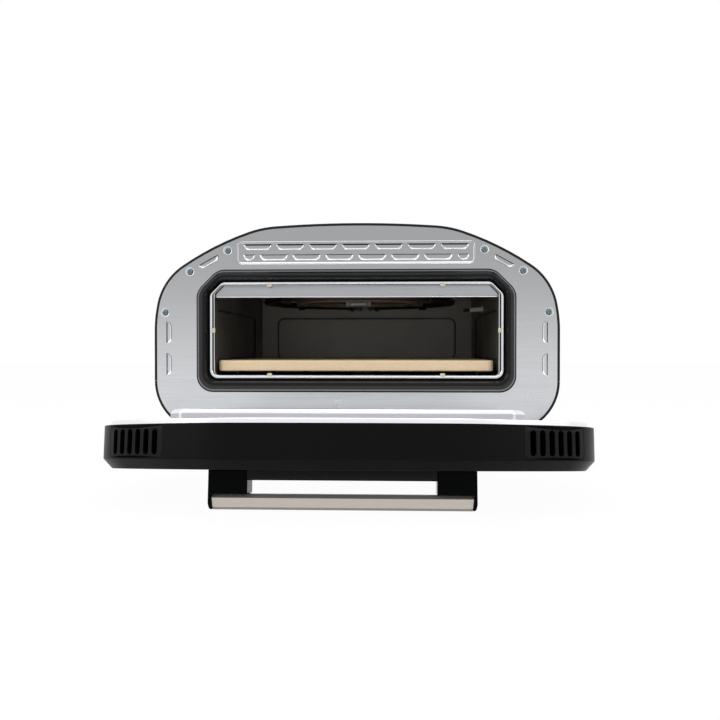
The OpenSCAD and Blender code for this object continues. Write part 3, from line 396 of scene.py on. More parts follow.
def filled(outer: Loop, holes: Sequence[Loop], grid: float) -> tuple[Loop, list[list[int]]]:
    """Fill the space between an outer loop and its holes.

    Args:
        outer: The outer loop.
        holes: The loops left open.
        grid: Spacing of extra points inside, or 0 for none.

    Returns:
        The points and the triangles between them.
    """
    spots: list[Vector] = []
    edges: list[tuple[int, int]] = []
    for loop in [outer, *holes]:
        first = len(spots)
        spots += [Vector(p) for p in loop]
        edges += [(first + k, first + (k + 1) % len(loop)) for k in range(len(loop))]
    if grid:
        xs, zs = [p[0] for p in outer], [p[1] for p in outer]
        for i in range(1, int((max(xs) - min(xs)) / grid)):
            for j in range(1, int((max(zs) - min(zs)) / grid)):
                spots.append(Vector((min(xs) + i * grid, min(zs) + j * grid)))
    points, _, faces, *_ = delaunay_2d_cdt(spots, edges, [], 0, 1e-5)
    flat = [(p.x, p.y) for p in points]
    kept = []
    for face in faces:
        centre = (sum(flat[i][0] for i in face) / len(face),
                  sum(flat[i][1] for i in face) / len(face))
        if inside(centre, outer) and not any(inside(centre, hole) for hole in holes):
            kept.append(list(face))
    return flat, kept


def eased(lo: float, hi: float, ease_lo: float, ease_hi: float, steps: int = 3) -> list[Point]:
    """Draw the edge profile of a plate: growth and depth from one face to the other.

    Args:
        lo: Depth of the first face.
        hi: Depth of the other face.
        ease_lo: Rounding of the first edge.
        ease_hi: Rounding of the other edge.
        steps: Steps round each edge.

    Returns:
        Pairs of growth and depth.
    """
    rows = []
    for depth, ease, inwards in ((lo, ease_lo, 1.0), (hi, ease_hi, -1.0)):
        turns = [math.pi / 2.0 * k / steps for k in range(steps + 1 if ease else 1)]
        rows.append([(-ease * (1.0 - math.sin(t)), depth + inwards * ease * (1.0 - math.cos(t)))
                     for t in turns])
    return rows[0] + rows[1][::-1]


class Pattern(Enum):
    """The surface pattern that a finish shows."""

    GRAIN = "fine_grain"
    BRUSHED = "brushed_lines"
    SPECKLE = "stone_speckle"
    FIBRE = "loose_fibre"


class Wiring:
    """Adds and joins the nodes of one tree."""

    def __init__(self, tree: bpy.types.NodeTree) -> None:
        """Keep the tree and empty it."""
        self.tree = tree
        tree.nodes.clear()

    def add(self, kind: str, inputs: dict | None = None, **settings: object) -> bpy.types.Node:
        """Add a node.

        Args:
            kind: Blender's name for the node type, without ShaderNode.
            inputs: Values or sockets for its inputs, by name or number.
            settings: Values of the node's own settings.

        Returns:
            The node.
        """
        prefix = "" if kind.startswith("Node") else "ShaderNode"
        node = self.tree.nodes.new(prefix + kind)
        for key, value in settings.items():
            setattr(node, key, value)
        for key, value in (inputs or {}).items():
            if isinstance(value, bpy.types.NodeSocket):
                self.tree.links.new(value, node.inputs[key])
            else:
                node.inputs[key].default_value = value
        return node


def effect_group(pattern: Pattern) -> bpy.types.NodeTree:
    """Build the shared node group of one pattern, once.

    Args:
        pattern: The pattern.

    Returns:
        The group with the sockets Scale, Stretch, Height, Shade and Marks.
    """
    found = bpy.data.node_groups.get(pattern.value)
    if found:
        return found
    tree = bpy.data.node_groups.new(pattern.value, "ShaderNodeTree")
    tree.interface.new_socket("Scale", in_out="INPUT", socket_type="NodeSocketFloat")
    tree.interface.new_socket("Stretch", in_out="INPUT", socket_type="NodeSocketVector")
    for name in ("Height", "Shade", "Marks"):
        tree.interface.new_socket(name, in_out="OUTPUT", socket_type="NodeSocketFloat")
    wires = Wiring(tree)
    source = tree.nodes.new("NodeGroupInput")
    place = wires.add("TexCoord")
    spread = wires.add("Mapping", {"Vector": place.outputs["Object"],
                                   "Scale": source.outputs["Stretch"]})
    where = spread.outputs["Vector"]
    scale = source.outputs["Scale"]
    fine = wires.add("TexNoise", {"Vector": where, "Scale": scale, "Detail": 3.0})
    height = shade = fine.outputs["Fac"]
    if pattern is Pattern.SPECKLE:
        cells = wires.add("TexVoronoi", {"Vector": where, "Scale": scale})
        pits = wires.add("MapRange", {"Value": cells.outputs["Distance"], "From Min": 0.05,
                                      "From Max": 0.35})
        height = pits.outputs["Result"]
    if pattern is Pattern.FIBRE:
        strands = wires.add("TexWave", {"Vector": where, "Scale": scale, "Distortion": 14.0,
                                        "Detail": 3.0, "Detail Scale": 1.6})
        height = strands.outputs["Fac"]
    broad = wires.add("TexNoise", {"Vector": place.outputs["Object"], "Scale": 14.0,
                                   "Detail": 4.0, "Roughness": 0.6})
    marks = wires.add("MapRange", {"Value": broad.outputs["Fac"], "From Min": 0.35,
                                   "From Max": 0.7})
    result = tree.nodes.new("NodeGroupOutput")
    for name, socket in (("Height", height), ("Shade", shade), ("Marks", marks.outputs["Result"])):
        tree.links.new(socket, result.inputs[name])
    return tree


def linear(code: str) -> tuple[float, float, float, float]:
    """Turn a six-figure colour into the numbers that shaders take.

    Args:
        code: Colour such as b5afa8.

    Returns:
        Linear red, green, blue and alpha.
    """
    parts = [int(code[i:i + 2], 16) / 255.0 for i in (0, 2, 4)]
    red, green, blue = (c / 12.92 if c <= 0.04045 else ((c + 0.055) / 1.055) ** 2.4
                        for c in parts)
    return red, green, blue, 1.0


@dataclass(frozen=True)
class Finish:
    """One material: its colour, gloss and surface pattern. Its name is the record's slot."""

    slot: str
    colour: str
    shade: str
    roughness: float
    spread: float = 0.08
    metallic: float = 0.0
    coat: float = 0.0
    pattern: Pattern = Pattern.GRAIN
    scale: float = 900.0
    stretch: tuple[float, float, float] = (1.0, 1.0, 1.0)
    bump: float = 0.15
    relief: float = 0.00004
    transmission: float = 0.0
    specular: float = 0.5
    # top: second colour mixed in towards the top; on the face steel it is painted reflection,
    # darker towards the top
    top: str = ""
    painted_fade: tuple[float, float] = (0.0, 1.0)

    def material(self) -> bpy.types.Material:
        """Build the material, once.

        Returns:
            The material.
        """
        name = f"{self.slot}_{self.colour}"
        found = bpy.data.materials.get(name)
        if found:
            return found
        material = bpy.data.materials.new(name)
        material.use_nodes = True
        wires = Wiring(material.node_tree)
        effect = wires.add("Group", node_tree=effect_group(self.pattern))
        effect.inputs["Scale"].default_value = self.scale
        effect.inputs["Stretch"].default_value = self.stretch
        mix = wires.add("Mix", {0: effect.outputs["Shade"], 6: linear(self.colour),
                                7: linear(self.shade)}, data_type="RGBA")
        tint = mix.outputs[2]
        if self.top:
            tint = self.painted_top_fade(wires, tint)
        gloss = wires.add("MapRange", {"Value": effect.outputs["Marks"],
                                       "To Min": self.roughness - self.spread / 2.0,
                                       "To Max": self.roughness + self.spread / 2.0})
        bump = wires.add("Bump", {"Strength": self.bump, "Distance": self.relief,
                                  "Height": effect.outputs["Height"]})
        shader = wires.add("BsdfPrincipled", {
            "Base Color": tint, "Roughness": gloss.outputs["Result"],
            "Normal": bump.outputs["Normal"], "Metallic": self.metallic,
            "Coat Weight": self.coat, "Transmission Weight": self.transmission})
        shader.inputs["Coat Roughness"].default_value = 0.08
        shader.inputs["Specular IOR Level"].default_value = self.specular
        wires.add("OutputMaterial", {"Surface": shader.outputs["BSDF"]})
        return material

    def painted_top_fade(self, wires: Wiring, tint: bpy.types.NodeSocket) -> bpy.types.NodeSocket:
        """Mix a second colour in towards the top of the piece: on the face steel a painted
        reflection, darker towards the top.

        Args:
            wires: The material's wiring.
            tint: The colour below.

        Returns:
            The mixed colour.
        """
        place = wires.add("TexCoord")
        split = wires.add("SeparateXYZ", {"Vector": place.outputs["Object"]})
        rise = wires.add("MapRange", {"Value": split.outputs["Z"], "From Min": self.painted_fade[0],
                                      "From Max": self.painted_fade[1]}, interpolation_type="SMOOTHSTEP")
        mix = wires.add("Mix", {0: rise.outputs["Result"], 6: tint, 7: linear(self.top)},
                        data_type="RGBA")
        return mix.outputs[2]


LINES_X = (0.02, 1.0, 1.0)
SHELL_BLACK = Finish("shell_black", "141416", "101012", 0.42, 0.03, bump=0.2, specular=0.2)
# Brushed face steel; its top colour is painted reflection, darker towards the top.
FACE_STEEL = Finish("face_steel", "dcdee0", "c6c8cb", 0.3, 0.06, 1.0, pattern=Pattern.BRUSHED,
                    scale=900.0, stretch=LINES_X, bump=0.03, top="a3a4a6", painted_fade=(0.07, 0.27))
# Lighter copy of the face steel for louvre slopes, dimple rings and the bead's low run: a painted
# highlight.
FACE_PAINTED_HIGHLIGHT = Finish("face_steel", "dedfe2", "d7d8db", 0.32, 0.04, 1.0, bump=0.02)
SCREW_ZINC = Finish("screw_zinc", "62747b", "7b8b91", 0.3, 0.1, 0.8)
BEZEL_GLOSS = Finish("bezel_gloss", "08080a", "0b0b0d", 0.12, 0.04, bump=0.03)
# Lighter copy of the bezel for the lip's crest: a painted highlight.
BEZEL_PAINTED_HIGHLIGHT = Finish("bezel_gloss", "606166", "55565a", 0.24, 0.05, bump=0.04, specular=1.0)
# Darker, duller copy for the inner part of the dished band: painted shade.
BEZEL_BAND_PAINTED_SHADE = Finish("bezel_gloss", "050506", "070709", 0.12, 0.04, bump=0.03, specular=0.22)
# Near-black, matt copy for the throat and the lip's outer face: painted shade.
BEZEL_THROAT_PAINTED_SHADE = Finish("bezel_gloss", "020203", "030304", 0.5, 0.05, bump=0.04, specular=0.06)
RIM_SILVER = Finish("rim_silver", "e2e4e6", "d0d2d5", 0.2, 0.06, 1.0, pattern=Pattern.BRUSHED,
                    scale=1200.0, stretch=LINES_X, bump=0.04)
# Dark copy of the rim silver for its groove: painted shade.
RIM_GROOVE_PAINTED_SHADE = Finish("rim_silver", "2e2e2b", "262624", 0.5, 0.08, 0.3, bump=0.04)
CLIP_CREAM = Finish("clip_cream", "e4dac2", "d4c9ae", 0.5)
BAFFLE_SILVER = Finish("baffle_silver", "b4b6b9", "9c9ea1", 0.34, 0.1, 1.0,
                       pattern=Pattern.BRUSHED, scale=1100.0, stretch=LINES_X, bump=0.08)
# Lighter copy of the baffle silver for the folded hem: a painted highlight.
BAFFLE_HEM_PAINTED_HIGHLIGHT = Finish("baffle_silver", "e6e4e7", "dcdadd", 0.3, 0.06, 1.0, bump=0.05)
CAVITY_ENAMEL = Finish("cavity_enamel", "aca9a3", "9b9892", 0.36, 0.12, bump=0.2, scale=500.0)
# Darker copy of the enamel for the back field's slope: painted shade.
BACK_FIELD_PAINTED_SHADE = Finish("cavity_enamel", "6f6b62", "615d55", 0.34, 0.12, bump=0.1, scale=500.0)
# Darker copy for the side fields' slopes: painted shade.
SIDE_FIELD_PAINTED_SHADE = Finish("cavity_enamel", "1d1c1a", "191816", 0.45, 0.12, bump=0.1, scale=500.0)
# Darker copy of the cavity enamel for the side walls: painted shade.
SIDE_WALL_PAINTED_SHADE = Finish("cavity_enamel", "4a4844", "403e3a", 0.42, 0.12, bump=0.2, scale=500.0)
ELEMENT_DARK = Finish("element_dark", "1d1a18", "151210", 0.5, 0.15, 0.3, scale=400.0)
ELEMENT_BROWN = Finish("element_brown", "857863", "665c4c", 0.4, 0.15, 0.3, scale=400.0)
HANGER_STEEL = Finish("hanger_steel", "35322f", "2a2825", 0.45, 0.1, 0.6)
BRACKET_STEEL = Finish("hanger_steel", "97999b", "85878a", 0.45, 0.1, 0.3)
CERAMIC_WHITE = Finish("ceramic_white", "e6e0d2", "d8d0bf", 0.45)
SENSOR_STEEL = Finish("sensor_steel", "b4c2cc", "a2b0ba", 0.35, 0.1, 0.3)
SLEEVE_CERAMIC = Finish("ceramic_white", "ddd6c6", "cdc5b3", 0.42)
CORDIERITE = Finish("cordierite", "ecd4b4", "dfc49d", 0.86, 0.06, pattern=Pattern.SPECKLE,
                    scale=420.0, bump=0.3, relief=0.00015)
MINERAL_WOOL = Finish("mineral_wool", "d8d4c4", "c3beac", 0.95, 0.04, pattern=Pattern.FIBRE,
                      scale=120.0, bump=0.9, relief=0.0008)
ZINC_SHEET = Finish("zinc_sheet", "9a9c9e", "86888b", 0.38, 0.14, 0.95)
FOOT_RUBBER = Finish("foot_rubber", "121212", "1a1a1a", 0.78, 0.08, bump=0.35, relief=0.0001)
HINGE_STEEL = Finish("hinge_steel", "2b2c2f", "222326", 0.4, 0.1, 0.7)
PIN_STEEL = Finish("pin_steel", "b8bcc0", "a4a8ac", 0.25, 0.08, 1.0)
FAN_PLASTIC = Finish("fan_plastic", "1d1e20", "161719", 0.5, 0.1)
INLET_PLASTIC = Finish("inlet_plastic", "151516", "1c1c1e", 0.45, 0.1)
PIN_BRASS = Finish("pin_brass", "c9b27a", "b89f62", 0.28, 0.08, 1.0)
BOARD_GREEN = Finish("board_green", "2f5a3c", "264a31", 0.45, 0.1)
DOOR_BLACK = Finish("door_black", "0a0a0b", "070708", 0.36, 0.08, bump=0.2, specular=0.07)
VENT_BLACK = Finish("door_black", "0c0c0d", "09090a", 0.42, 0.08, bump=0.2, specular=0.1)
LINER_BRIGHT = Finish("liner_bright", "f4f5f7", "e9eaed", 0.2, 0.08, 1.0,
                      pattern=Pattern.BRUSHED, scale=1200.0, stretch=LINES_X, bump=0.05)
# Darker copy of the liner for the plug's side wall: painted shade.
PLUG_WALL_PAINTED_SHADE = Finish("liner_bright", "c3c2c8", "b5b4ba", 0.34, 0.08, 1.0,
                    pattern=Pattern.BRUSHED, scale=1200.0, stretch=LINES_X, bump=0.05)
GLASS_DARK = Finish("glass_dark", "0c0e10", "101214", 0.05, 0.02, bump=0.01,
                    transmission=0.55, specular=0.4)
GLASS_CLEAR = Finish("glass_clear", "b9c6c4", "b2c0be", 0.03, 0.02, bump=0.01,
                     transmission=1.0)
HANDLE_BLACK = Finish("handle_black", "020303", "030404", 0.12, 0.04, bump=0.05, specular=0.03)
PLATE_BLACK = Finish("handle_black", "111110", "0d0d0c", 0.3, 0.08, bump=0.1, specular=0.1)
HANDLE_STEEL = Finish("handle_steel", "c4beb7", "b3ada6", 0.3, 0.08, 1.0,
                      pattern=Pattern.BRUSHED, scale=1700.0, stretch=LINES_X, bump=0.08)
HANDLE_EDGE = Finish("handle_steel", "9a978c", "8e8b81", 0.4, 0.08, 0.4, pattern=Pattern.BRUSHED,
                     scale=1700.0, stretch=LINES_X, bump=0.08)
FASCIA_BLACK = Finish("fascia_black", "08080a", "0b0b0d", 0.1, 0.04, bump=0.03, specular=0.35)
LENS_BLACK = Finish("lens_black", "05070a", "07090d", 0.06, 0.02, coat=0.3, bump=0.01)
KEY_GREY = Finish("key_grey", "5a5c61", "505257", 0.38, 0.08, bump=0.2)

NODE_FINISHES: dict[str, Finish] = {
    "rear_cover": SHELL_BLACK, "plinth": SHELL_BLACK, "rear_screws": HINGE_STEEL,
    "cavity_floor": CAVITY_ENAMEL, "cavity_ceiling": CAVITY_ENAMEL,
    "element_hangers": HANGER_STEEL, "element_saddles": HANGER_STEEL,
    "element_bushings": CERAMIC_WHITE, "centre_bracket": BRACKET_STEEL,
    "stone_rails": HANGER_STEEL, "insulation_blankets": MINERAL_WOOL,
    "liner_supports": ZINC_SHEET, "foot_screws": PIN_STEEL, "hinge_brackets": HINGE_STEEL,
    "hinge_pins": PIN_STEEL, "fan_frame": FAN_PLASTIC, "fan_screws": HINGE_STEEL,
    "fan_rotor": FAN_PLASTIC, "power_inlet": INLET_PLASTIC, "inlet_pins": PIN_BRASS,
    "power_board": BOARD_GREEN, "thermal_cutouts": CERAMIC_WHITE,
    "door_insulation": MINERAL_WOOL, "hinge_lugs": HINGE_STEEL, "handle_screws": PIN_STEEL,
    "control_board": BOARD_GREEN}


class MeshMaker:
    """Collects the faces of one piece in the millimetres of its own space."""

    def __init__(self, space: Space = Space.BODY) -> None:
        """Start an empty piece.

        Args:
            space: The millimetres it is drawn in.
        """
        self.space = space
        self.points: list[Vector] = []
        self.faces: list[list[int]] = []
        self.layers: dict[int, int] = {}

    @contextmanager
    def layer(self, number: int) -> Iterator[None]:
        """Give the faces added meanwhile another of the piece's finishes.

        Args:
            number: 1 for the first of the other finishes, 2 for the next.
        """
        first = len(self.faces)
        yield
        self.layers.update(dict.fromkeys(range(first, len(self.faces)), number))

    def normal(self, face: list[int]) -> Vector:
        """Find which way a face looks."""
        a, b, c = (self.points[i] for i in face[:3])
        return (b - a).cross(c - a).normalized()

    def add(self, points: Iterable[Vector]) -> list[int]:
        """Add points.

        Args:
            points: The points in drawn millimetres.

        Returns:
            Their numbers.
        """
        first = len(self.points)
        self.points += [Vector(p) for p in points]
        return list(range(first, len(self.points)))

    def cap(self, *loops: Sequence[Vector]) -> None:
        """Close each loop with one face."""
        self.faces += [self.add(loop) for loop in loops]

    def loft(self, loops: Sequence[Sequence[Vector]], closed: bool = True, wrap: bool = False,
             skip: set[tuple[int, int]] | None = None) -> None:
        """Join loops of equal count by quads.

        Args:
            loops: The loops, in order.
            closed: Whether each loop closes on itself.
            wrap: Whether the last loop joins the first.
            skip: Cells left open, as pairs of loop and point numbers.
        """
        rows = [self.add(loop) for loop in loops]
        count = len(rows[0])
        pairs = list(zip(rows, rows[1:] + rows[:1]))
        for i, (row, following) in enumerate(pairs if wrap else pairs[:-1]):
            for k in range(count if closed else count - 1):
                if skip and (i, k) in skip:
                    continue
                after = (k + 1) % count
                self.faces.append([row[k], row[after], following[after], following[k]])

    def ring(self, shape: Outline, profile: Sequence[Point],
             plane: Plane = Plane.FRONT, wrap: bool = False) -> None:
        """Carry a profile, given as pairs of growth and depth, round an outline."""
        self.loft([[plane.point(a, b, depth) for a, b in shape.loop(grow)]
                   for grow, depth in profile], wrap=wrap)

    def sheet(self, outer: Loop, holes: Sequence[Loop], depth: float,
              plane: Plane = Plane.FRONT, grid: float = 0.0) -> None:
        """Fill a flat sheet between an outer loop and its holes.

        Args:
            outer: The outer loop.
            holes: The loops left open.
            depth: Where the sheet lies along the plane's normal.
            plane: The plane of the sheet.
            grid: Spacing of extra points, or 0 for none.
        """
        flat, faces = filled(outer, holes, grid)
        numbers = self.add(plane.point(a, b, depth) for a, b in flat)
        self.faces += [[numbers[i] for i in face] for face in faces]

    def plate(self, shape: Outline, lo: float, hi: float,
              ease: tuple[float, float] = (0.4, 0.4), plane: Plane = Plane.FRONT,
              holes: Sequence[Outline] = ()) -> None:
        """Make a flat plate with rounded edges and open holes.

        Args:
            shape: Its outline.
            lo: Depth of its first face.
            hi: Depth of its other face.
            ease: Rounding of the edges of the two faces.
            plane: The plane of the plate.
            holes: Outlines left open through it.
        """
        profile = eased(lo, hi, *ease)
        self.ring(shape, profile, plane)
        for hole in holes:
            self.ring(hole, [(-grow, depth) for grow, depth in profile], plane)
        for edge, depth in ((ease[0], lo), (ease[1], hi)):
            self.sheet(shape.loop(-edge), [hole.loop(edge) for hole in holes], depth, plane)

    def turning(self, profile: Sequence[Point], a: float, b: float,
                plane: Plane = Plane.FRONT, sides: int = 32, ends: bool = True) -> None:
        """Turn a profile about an axis along the plane's normal.

        Args:
            profile: Pairs of radius and depth.
            a: First coordinate of the axis.
            b: Second coordinate of the axis.
            plane: The plane across the axis.
            sides: Sides of the turned piece.
            ends: Whether its ends are closed.
        """
        loops = []
        for radius, depth in profile:
            loops.append([plane.point(a + radius * math.cos(t), b + radius * math.sin(t), depth)
                          for t in spokes(sides)])
        self.loft(loops)
        if ends:
            self.cap(loops[0], loops[-1])

    def sweep(self, path: Sequence[Vector], radii: float | Sequence[float], up: Vector,
              sides: int = 16) -> None:
        """Carry a circle along a path.

        Args:
            path: The points of the middle line.
            radii: One radius, or one for each point.
            up: A direction that the path never follows.
            sides: Sides of the tube.
        """
        sizes = [radii] * len(path) if isinstance(radii, (int, float)) else list(radii)
        loops = []
        for i, (spot, radius) in enumerate(zip(path, sizes)):
            ahead = path[min(i + 1, len(path) - 1)] - path[max(i - 1, 0)]
            across = ahead.cross(up).normalized()
            rise = across.cross(ahead).normalized()
            loops.append([spot + (across * math.cos(t) + rise * math.sin(t)) * radius
                          for t in spokes(sides)])
        self.loft(loops)
        self.cap(loops[0], loops[-1])

    def rod(self, stations: Sequence[Point], base: Vector, along: Vector, up: Vector) -> None:
        """Sweep a straight rod, given as pairs of distance from its base and radius."""
        self.sweep([base + along * d for d, _ in stations], [r for _, r in stations], up)

    def piece(self, name: str, finish: Finish, body: str, *nodes: str,
              others: Sequence[Finish] = ()) -> bpy.types.Object:
        """Turn the faces into a finished piece that rides on its body.

        Args:
            name: Name of the piece.
            finish: Its finish.
            body: The body it rides on.
            nodes: The solids that it stands for.
            others: The finishes of its other layers.

        Returns:
            The object.
        """
        matrix = self.space.matrix()
        mesh = bpy.data.meshes.new(name)
        mesh.from_pydata([matrix @ p for p in self.points], [], self.faces)
        for face, number in self.layers.items():
            mesh.polygons[face].material_index = number
        work = bmesh.new()
        work.from_mesh(mesh)
        bmesh.ops.remove_doubles(work, verts=work.verts, dist=0.004 * MM)
        bmesh.ops.dissolve_degenerate(work, edges=work.edges, dist=0.002 * MM)
        bmesh.ops.recalc_face_normals(work, faces=work.faces)
        work.to_mesh(mesh)
        work.free()
        mesh.shade_smooth()
        mesh.set_sharp_from_angle(angle=SHARP_ANGLE)
        thing = bpy.data.objects.new(name, mesh)
        bpy.context.scene.collection.objects.link(thing)
        for dress in (finish, *others):
            mesh.materials.append(dress.material())
        weighted = thing.modifiers.new("even_normals", "WEIGHTED_NORMAL")
        weighted.keep_sharp = True
        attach(thing, body)
        if nodes:
            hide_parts(*nodes)
        LOG.info("%s: %d faces on %s", name, len(mesh.polygons), body)
        return thing


@dataclass
class Shell:
    """The wrapped sheet, the base pan below its seam and the feet."""

    sheet_t: float = 1.2
    hem_w: float = 2.9
    edge_r: float = 1.1
    rear: float = 418.4
    seam_gap: float = 0.35
    foot_x: float = 155.0
    foot_y: tuple[float, float] = (75.0, 360.0)
    foot_r: float = 18.0
    foot_h: float = 23.0
    plinth_h: float = 25.0
    foot_round: float = 1.4
    foot_dish: float = 1.2
    foot_bevel: tuple[float, float] = (2.0, 4.0)
    foot_bores: tuple[float, float] = (6.0, 2.0)
    foot_sole: tuple[float, float] = (6.0, 7.0)

    def profile(self) -> list[Point]:
        """Draw the section of the wrapped sheet: growth and depth."""
        front = soften([(-self.hem_w, 0.0), (0.0, 0.0), (0.0, self.rear)], self.edge_r)
        return [(-self.hem_w, 1.0), *front, (-self.sheet_t, self.rear), (-self.sheet_t, 1.0)]

    def build(self) -> None:
        """Build the outer shell, the base pan and the feet."""
        upper, lower = MeshMaker(), MeshMaker()
        for maker, drawn in ((upper, BODY.upper), (lower, BODY.lower)):
            loops = [[Plane.FRONT.point(a, b, depth) for a, b in drawn(grow)]
                     for grow, depth in self.profile()]
            if maker is upper:
                for loop in loops:
                    for end in (loop[0], loop[-1]):
                        end.z += self.seam_gap
            maker.loft(loops, closed=False, wrap=True)
            maker.cap(*([loop[end] for loop in loops] for end in (0, -1)))
        upper.piece("wrapped_shell", SHELL_BLACK, "root", "outer_shell")
        lower.piece("folded_base_pan", SHELL_BLACK, "root", "base_pan")
        self.build_feet()

    def build_feet(self) -> None:
        """Build the four rubber feet."""
        maker = MeshMaker()
        top, bottom = -self.plinth_h, -self.plinth_h - self.foot_h
        r, dish, (across, rise) = self.foot_r, bottom + self.foot_dish, self.foot_bevel
        (top_bore, low_bore), (sole, sole_in) = self.foot_bores, self.foot_sole
        profile = soften([(top_bore, top), (r, top), (r, bottom + rise), (r - across, bottom),
                          (r - sole, bottom), (r - sole_in, dish), (low_bore, dish)],
                         self.foot_round)
        for x in (-self.foot_x, self.foot_x):
            for y in self.foot_y:
                maker.turning(profile, x, y, Plane.PLAN, 40)
        maker.piece("rubber_feet", FOOT_RUBBER, "root", "feet")


@dataclass(frozen=True)
class Louvre:
    """One half-moon scoop pressed into the face, with a slit along its straight side."""

    x: float
    z: float
    width: float
    height: float
    turn: float = 0.0
    slit: float = 1.3
    depth: float = 1.3
    lip: float = 1.9
    round_x: float = 6.6
    fullness: float = 2.0
    tuck: float = 0.4
    columns: int = 36
    rows: int = 5

    def curve(self, inset: float, top: float) -> list[Vector]:
        """Draw the curved side, from one end of the straight side to the other.

        Args:
            inset: How far it lies inside the opening.
            top: Height of its two ends.

        Returns:
            The points across and up, before the louvre is turned and placed.
        """
        half = self.width / 2.0 - inset
        round_x = min(self.round_x, half)
        spots = []
        for i in range(self.columns + 1):
            x = -half * math.cos(math.pi * i / self.columns)
            beyond = min(max(abs(x) - (half - round_x), 0.0) / round_x, 1.0)
            rise = 1.0 - (1.0 - beyond ** self.fullness) ** (1.0 / self.fullness)
            spots.append(Vector((x, inset + (top - inset) * rise)))
        return spots

    def loop(self, grow: float = 0.0) -> Loop:
        """Draw the opening: straight above, curved below.

        Args:
            grow: How far the outline is moved outwards.

        Returns:
            The points of the closed outline.
        """
        angle = math.radians(self.turn)
        flat = [turned(p, angle) for p in self.curve(-grow, self.height + grow)]
        return [(p.x + self.x, p.y + self.z) for p in flat]

    def press(self, maker: MeshMaker) -> None:
        """Press the scoop: a slope along the curved side, lightened with a painted highlight, then
        a flat floor.

        Args:
            maker: The face panel's maker.
        """
        loops = []
        for k in range(self.rows + 1):
            share = k / self.rows
            sink = self.depth * math.sin(math.pi / 2.0 * share)
            curve = self.curve(self.lip * share, self.height - self.slit * share)
            loops.append([self.spot(p, sink) for p in curve])
        # The slope takes the painted highlight finish.
        with maker.layer(1):
            maker.loft(loops, closed=False)
        high = self.height - self.slit
        inner = self.curve(self.lip, high)
        maker.loft([[self.spot(p, self.depth) for p in inner],
                    [self.spot(Vector((p.x, high)), self.depth + self.tuck) for p in inner]],
                   closed=False)

    def spot(self, flat: Vector, sink: float) -> Vector:
        """Place a point, given across and up before the louvre's turn, at a depth."""
        place = turned(flat, math.radians(self.turn))
        return Vector((place.x + self.x, sink + PRESS_Y, place.y + self.z))


